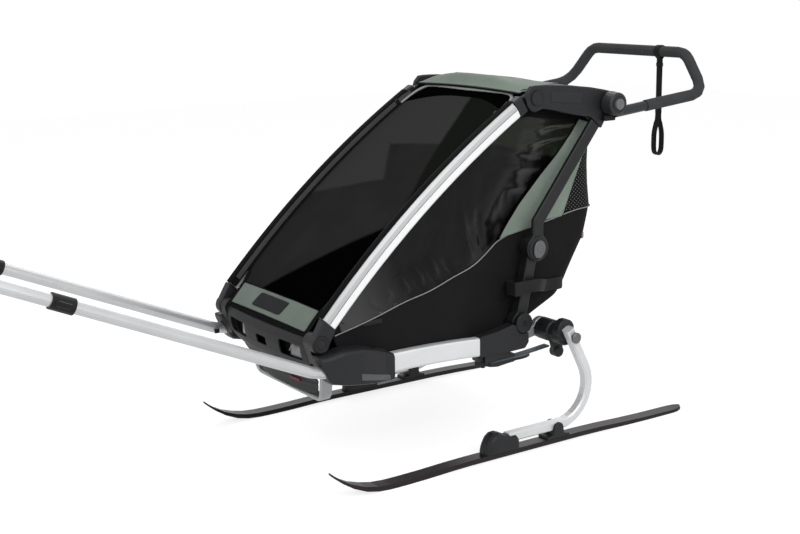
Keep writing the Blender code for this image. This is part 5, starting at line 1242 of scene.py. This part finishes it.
PIN_PATH = vectors((0.019, 0.3225), (0.012, 0.3185), (0.0075, 0.3125), (0.006, 0.306))
ARM_BEND_X = 0.266
ARM_R = 0.015
PIN_THICK = 0.0025
PIN_WIDTH = 0.012


def make_arm_pins():
    x = ARM_BEND_X - ARM_R - SEAT_GAP - 0.5 * PIN_THICK
    for label, side in SIDES:
        out = Vector((side, 0.0, 0.0))
        path = [at_x(side * x, p) for p in smooth_line(PIN_PATH, 16)]
        mat = "webbing" if label == "left" else "grey_webbing"
        pin = ribbon_piece("pin_tether_" + label, path, out, PIN_WIDTH, PIN_THICK, mat)
        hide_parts("arm_pin_" + label)
        end = [path[-1] + UP * 0.003, path[-1] - UP * 0.009]
        tip = ribbon_piece("pin_tip_" + label, end, out, PIN_WIDTH + 0.002, PIN_THICK + 0.001, "rubber")
        ride("chassis", (pin, tip))


# Small trim on the carried-over solids

TREES = {}
PROUD = 0.0012
BUMPER_BOW = 0.015
BUMPER_HALF = 0.211
BUMPER_POWER = 2.2
DIAL_HOLE = Vector((0.7205, 0.501))


def outer_x(name, y, z, side):
    """X of a solid's outer face at a place in the side plane, or nothing where it has none."""
    if name not in TREES:
        mesh = NODES[name].data
        TREES[name] = BVHTree.FromPolygons([v.co for v in mesh.vertices], [p.vertices for p in mesh.polygons])
    place = TREES[name].ray_cast(Vector((side * 0.6, y + SHIFT, z)), Vector((-side, 0.0, 0.0)))[0]
    return None if place is None else place.x


def ring_piece(name, centre, x, radius, thick, mat, steps=40):
    path = [at_x(x, polar(centre, radius, 360.0 * i / steps)) for i in range(steps)]
    return tube_piece(name, path, thick, mat, 8, True)


def patch_on(name, solid, outline, proud, mat, side, columns, rows):
    """Thin plate that follows a solid's outer face inside a four-sided outline."""
    low_front, low_rear, high_rear, high_front = outline
    patch = []
    for i in range(rows + 1):
        a = low_front.lerp(high_front, i / rows)
        b = low_rear.lerp(high_rear, i / rows)
        row = []
        for j in range(columns + 1):
            p = a.lerp(b, j / columns)
            x = outer_x(solid, p[0], p[1], side)
            if x is None:
                x = patch[-1][j].x if patch else row[-1].x
            inside = 0 < i < rows and 0 < j < columns
            row.append(at_x(x + side * (proud if inside else 0.25 * proud), p))
        patch.append(row)
    return sheet_piece(name, patch, mat, 0.0008)


def bumper_rows(rows, columns, xs, zs, face, bow=BUMPER_BOW, half=BUMPER_HALF):
    """Grid that follows the bumper's bow; face gives its Y at the bumper's ends from a height."""
    def place(s, t):
        x, z = mix(*xs, t), mix(*zs, s)
        return Vector((x, face(z) - bow * (1.0 - abs(x / half) ** BUMPER_POWER), z))

    return grid(rows, columns, place)


def make_bumper_trim():
    """Dark panel behind the bumper's slots, the two clear reflectors in them and the stop lamp tab below."""
    back = bumper_rows(6, 24, (-0.196, 0.196), (0.286, 0.371),
                       lambda z: 0.045 + 0.018 * smooth_step((0.335 - z) / 0.06))
    pieces = [sheet_piece("slot_backing", back, "border_cloth", 0.002)]
    for name, x0, x1 in (("far", -0.124, -0.0955), ("near", 0.134, 0.18)):
        lens = bumper_rows(4, 6, (x0, x1), (0.3215, 0.3535), lambda z: 0.033)
        pieces.append(sheet_piece("slot_reflector_" + name, lens, "lens_clear", 0.0022, 0))
    route = vectors((0.156, 0.02, 0.356), (0.15, 0.015, 0.348), (0.143, 0.014, 0.337))
    pieces.append(tube_piece("slot_cord", smooth_line(route, 10), 0.0013, "silver_piping", 6))
    low, high = 0.236, 0.244
    insert = bumper_rows(3, 6, (0.065, 0.108), (low, high),
                         lambda z: mix(0.0761, 0.0726, (z - low) / (high - low)), 0.018, 0.168)
    pieces.append(sheet_piece("bumper_insert", insert, "insert_red", 0.0018, 0))
    ride("chassis", pieces)


def make_frame_strap(label, side):
    """Webbing that ties the side cover round the strut to the rear cover."""
    route = smooth_line(sided(side, (
        (0.2664, 0.643, 0.424), (0.2668, 0.668, 0.4252), (0.2668, 0.7134, 0.4262), (0.256, 0.745, 0.4205),
        (0.225, 0.782, 0.4085), (0.205, 0.8039, 0.402), (0.203, 0.8443, 0.401), (0.196, 0.868, 0.4),
        (0.179, 0.886, 0.3995))), 50)
    turns = span(49, lambda t: smooth_step((t - 0.78) / 0.22))
    outs = [Vector((side * mix(1.0, 0.6, turn), mix(0.0, 0.8, turn), 0.0)) for turn in turns]
    hook = sided(side, ((0.2675, 0.6425, 0.4238), (0.2682, 0.655, 0.4244), (0.2682, 0.667, 0.425)))
    turn = smooth_line(sided(side, (
        (0.267, 0.6425, 0.424), (0.24, 0.647, 0.4215), (0.207, 0.664, 0.415))), 12)
    stub = sided(side, ((0.205, 0.66, 0.414), (0.205, 0.68, 0.414), (0.205, 0.7, 0.414)))
    out = Vector((side, 0.0, 0.0))
    sink([
        ribbon_piece("frame_strap_" + label, route, outs, 0.035, 0.0024, "strap_webbing"),
        ribbon_piece("frame_strap_hook_" + label, hook, out, 0.0385, 0.0034, "strap_webbing"),
        ribbon_piece("frame_strap_turn_" + label, turn, FORWARD, 0.036, 0.0024, "webbing"),
        ribbon_piece("frame_strap_stub_" + label, stub, out, 0.0415, 0.0024, "webbing")])


def make_node_trim(label, side):
    """Reflectors, patches, rings and screws on one side's solids, and a painted shadow ring round the beam's
    pivot.
    """
    def face(solid, p, up=0.0):
        return outer_x(solid + label, p[0], p[1] + up, side)

    outline = vectors((0.133, 0.272), (0.23, 0.252), (0.23, 0.2655), (0.133, 0.29))
    pivot_x = face("lower_strut_", REAR_PIVOT, 0.001) or side * 0.27
    screw = ((-0.001, 0.0062), (0.0004, 0.0062), (0.0004, 0.0032), (-0.0004, 0.003))
    bracket = vectors(
        (0.52, 0.26), (0.6, 0.256), (0.629, 0.2545), (0.629, 0.2445), (0.652, 0.2435), (0.652, 0.22),
        (0.627, 0.2185), (0.592, 0.215), (0.566, 0.2185), (0.527, 0.24))
    bracket = rounded_outline(bracket, 0.003)
    chassis = [
        patch_on("socket_reflector_" + label, "socket_" + label, outline, PROUD, "reflector_grey", side, 14, 4),
        ring_piece("strut_ring_" + label, REAR_PIVOT, pivot_x, 0.0185, 0.0007, "tab_black"),
        turned_piece("strut_screw_" + label, REAR_PIVOT, abs(pivot_x), screw, "tab_black", side, 20),
        plate_piece("spring_bracket_" + label, bracket, 0.229, 0.256, "frame_black", side, 0.0015)]
    for index, y in enumerate((0.535, 0.556)):
        clamp = vectors((y, 0.222), (y + 0.011, 0.221), (y + 0.011, 0.237), (y, 0.238))
        clamp = rounded_outline(clamp, 0.002)
        name = "spring_clamp_%d_%s" % (index, label)
        chassis.append(plate_piece(name, clamp, 0.228, 0.26, "tab_black", side, 0.001))
    ride("chassis", chassis)
    cap_x = face("pillar_foot_", FOOT_PIVOT)
    groove_x = side * (FRAME_OUTER - 0.001)
    groove = span(40, lambda t: at_x(groove_x, PILLAR_AT(mix(0.052, PILLAR_LENGTH - 0.07, t))))
    ride("pillar_frame", [
        ring_piece("foot_ring_" + label, FOOT_PIVOT, cap_x - side * 0.0002, 0.0205, 0.0017, "tab_black"),
        ring_piece("foot_groove_" + label, FOOT_PIVOT, cap_x - side * 0.0004, 0.0125, 0.001, "tab_black"),
        tube_piece("pillar_groove_" + label, groove, 0.0009, "groove_grey", 6)])
    outline = vectors((0.7666, 0.9197), (0.8803, 0.9068), (0.8797, 0.9365), (0.7662, 0.9489))
    nose_x = face("side_beam_", TOP_PIVOT)
    bracket = vectors((0.948, 0.856), (0.988, 0.856), (0.988, 0.872), (0.948, 0.872))
    ride("roof_frame", [
        patch_on("beam_patch_" + label, "side_beam_" + label, outline, PROUD, "patch_plate", side, 14, 6),
        # A dark ring painted as the shadow gap round the beam's pivot.
        ring_piece("beam_shadow_ring_" + label, TOP_PIVOT, nose_x - side * 0.0002, 0.0195, 0.0016, "tab_black"),
        plate_piece("hub_bracket_" + label, bracket, 0.262, 0.278, "tab_black", side, 0.003, 3)])
    ride("handle", [ring_piece("hub_ring_" + label, HANDLE_PIVOT, side * 0.3026, 0.0215, 0.001, "tab_black")])
    dial_x = face("fold_lock_", MID_PIVOT, 0.004)
    hole = ((-0.001, 0.003), (0.0004, 0.003), (0.0004, 0.001))
    ride("fold_lock_" + label, [
        ring_piece("dial_ring_" + label, MID_PIVOT, dial_x - side * 0.0003, 0.0105, 0.0006, "groove_grey"),
        turned_piece("dial_hole_" + label, DIAL_HOLE, abs(dial_x), hole, "tab_black", side, 16)])


# Looks of the carried-over solids

LOOKS = {
    "pillar_aluminium": ("pillar",), "satin_aluminium": ("rail",), "arm_aluminium": ("tow_arm", "tow_tip"),
    # The low tubes take the aluminium with painted shade.
    "dull_shaded_aluminium": ("front_hoop", "rear_crosstube", "swing_arm"), "ski_arm_aluminium": ("ski_arm",),
    "knurled_metal": ("axle_button",), "blued_steel": ("leaf_spring",), "bumper_black": ("front_bumper",),
    "frame_black": ("pillar_foot", "front_crossbar", "side_beam", "socket", "rear_corner", "floor_tub",
                    "axle_hub", "ski_bracket_front", "ski_bracket_rear"),
    "strut_black": ("upper_strut", "lower_strut"), "tab_black": ("pole_clip", "release_tab"),
    "tube_black": ("handlebar",), "grip_foam": ("handle_grip",), "button_grey": ("handle_button",),
    "dial_grey": ("fold_lock",), "ski_laminate": ("ski",),
}


def dress_nodes():
    looks = {name: mat for mat, names in LOOKS.items() for name in names}
    for name, obj in NODES.items():
        if obj.hide_render:
            continue
        mat = MATERIALS[looks[name.removesuffix("_left").removesuffix("_right")]]
        for slot in obj.material_slots:
            slot.material = mat


# Stage, light and camera

WHITE = (1.0, 1.0, 1.0, 1.0)


def grey(level):
    return (level, level, level, 1.0)


def backdrop_mix(tree, lit, seen, kind):
    """One shader for light on the object, another for the camera's, mirrored and see-through rays."""
    rays = node(tree, "LightPath").outputs
    bright = maths(tree, "MAXIMUM", rays["Is Camera Ray"], rays["Is Transmission Ray"])
    bright = maths(tree, "MAXIMUM", bright, rays["Is Glossy Ray"])
    blend = node(tree, "MixShader", {0: bright, 1: lit.outputs[0], 2: seen.outputs[0]})
    node(tree, kind, {"Surface": blend.outputs[0]})


def make_stage():
    bm = bmesh.new()
    bmesh.ops.create_grid(bm, x_segments=1, y_segments=1, size=9.0)
    mesh = bpy.data.meshes.new("studio_floor")
    bm.to_mesh(mesh)
    bm.free()
    floor = bpy.data.objects.new("studio_floor", mesh)
    bpy.context.scene.collection.objects.link(floor)
    mat = bpy.data.materials.new("studio_white")
    mat.use_nodes = True
    tree = mat.node_tree
    tree.nodes.clear()
    soft = node(tree, "BsdfDiffuse", {"Color": grey(0.34)})
    glow = node(tree, "Emission", {"Color": WHITE, "Strength": 0.8})
    seen = node(tree, "AddShader", {0: soft.outputs[0], 1: glow.outputs[0]})
    backdrop_mix(tree, node(tree, "BsdfDiffuse", {"Color": grey(0.8)}), seen, "OutputMaterial")
    mesh.materials.append(mat)


def make_world():
    world = bpy.data.worlds.new("studio")
    bpy.context.scene.world = world
    world.use_nodes = True
    tree = world.node_tree
    tree.nodes.clear()
    ambient, backdrop = [node(tree, "Background", {"Color": WHITE, "Strength": level}) for level in (0.55, 1.0)]
    backdrop_mix(tree, ambient, backdrop, "OutputWorld")


def make_lamp(name, place, target, size, power):
    lamp = bpy.data.lights.new(name, "AREA")
    lamp.shape = "RECTANGLE"
    lamp.size, lamp.size_y = size, size
    lamp.energy = power
    obj = bpy.data.objects.new(name, lamp)
    bpy.context.scene.collection.objects.link(obj)
    obj.location = place
    obj.rotation_euler = (Vector(target) - Vector(place)).to_track_quat("-Z", "Y").to_euler()


def make_camera():
    camera = bpy.data.cameras.new("photo_view")
    camera.lens = 59.77
    camera.sensor_width = 36.0
    obj = bpy.data.objects.new("photo_view", camera)
    bpy.context.scene.collection.objects.link(obj)
    forward = Vector((-0.8085, 0.54671, -0.21782)).normalized()
    up = Vector((-0.17197, 0.13449, 0.97588))
    right = forward.cross(up).normalized()
    up = right.cross(forward).normalized()
    turn = Matrix((right, up, -forward)).transposed()
    obj.matrix_world = Matrix.Translation(Vector((2.97166, -1.55874 + SHIFT, 1.26732))) @ turn.to_4x4()
    bpy.context.scene.camera = obj
    bpy.context.scene.view_settings.view_transform = "Standard"


make_camera()
make_world()
make_materials()
make_stage()
make_lamp("key", (3.3, 0.2, 2.6), (0.2, 0.2, 0.5), 2.2, 70.0)
make_lamp("front", (0.6, -3.0, 3.0), (0.0, 0.0, 0.5), 2.4, 40.0)
make_lamp("rear", (-2.6, 2.2, 2.8), (0.0, 0.2, 0.5), 2.2, 35.0)
make_front_cover()
make_canopy()
for label, side in SIDES:
    make_side_cover(label, side)
make_rear_cover()
make_seat()
make_wrist_strap()
make_arm_pins()
make_bumper_trim()
for label, side in SIDES:
    make_frame_strap(label, side)
    make_node_trim(label, side)
dress_nodes()
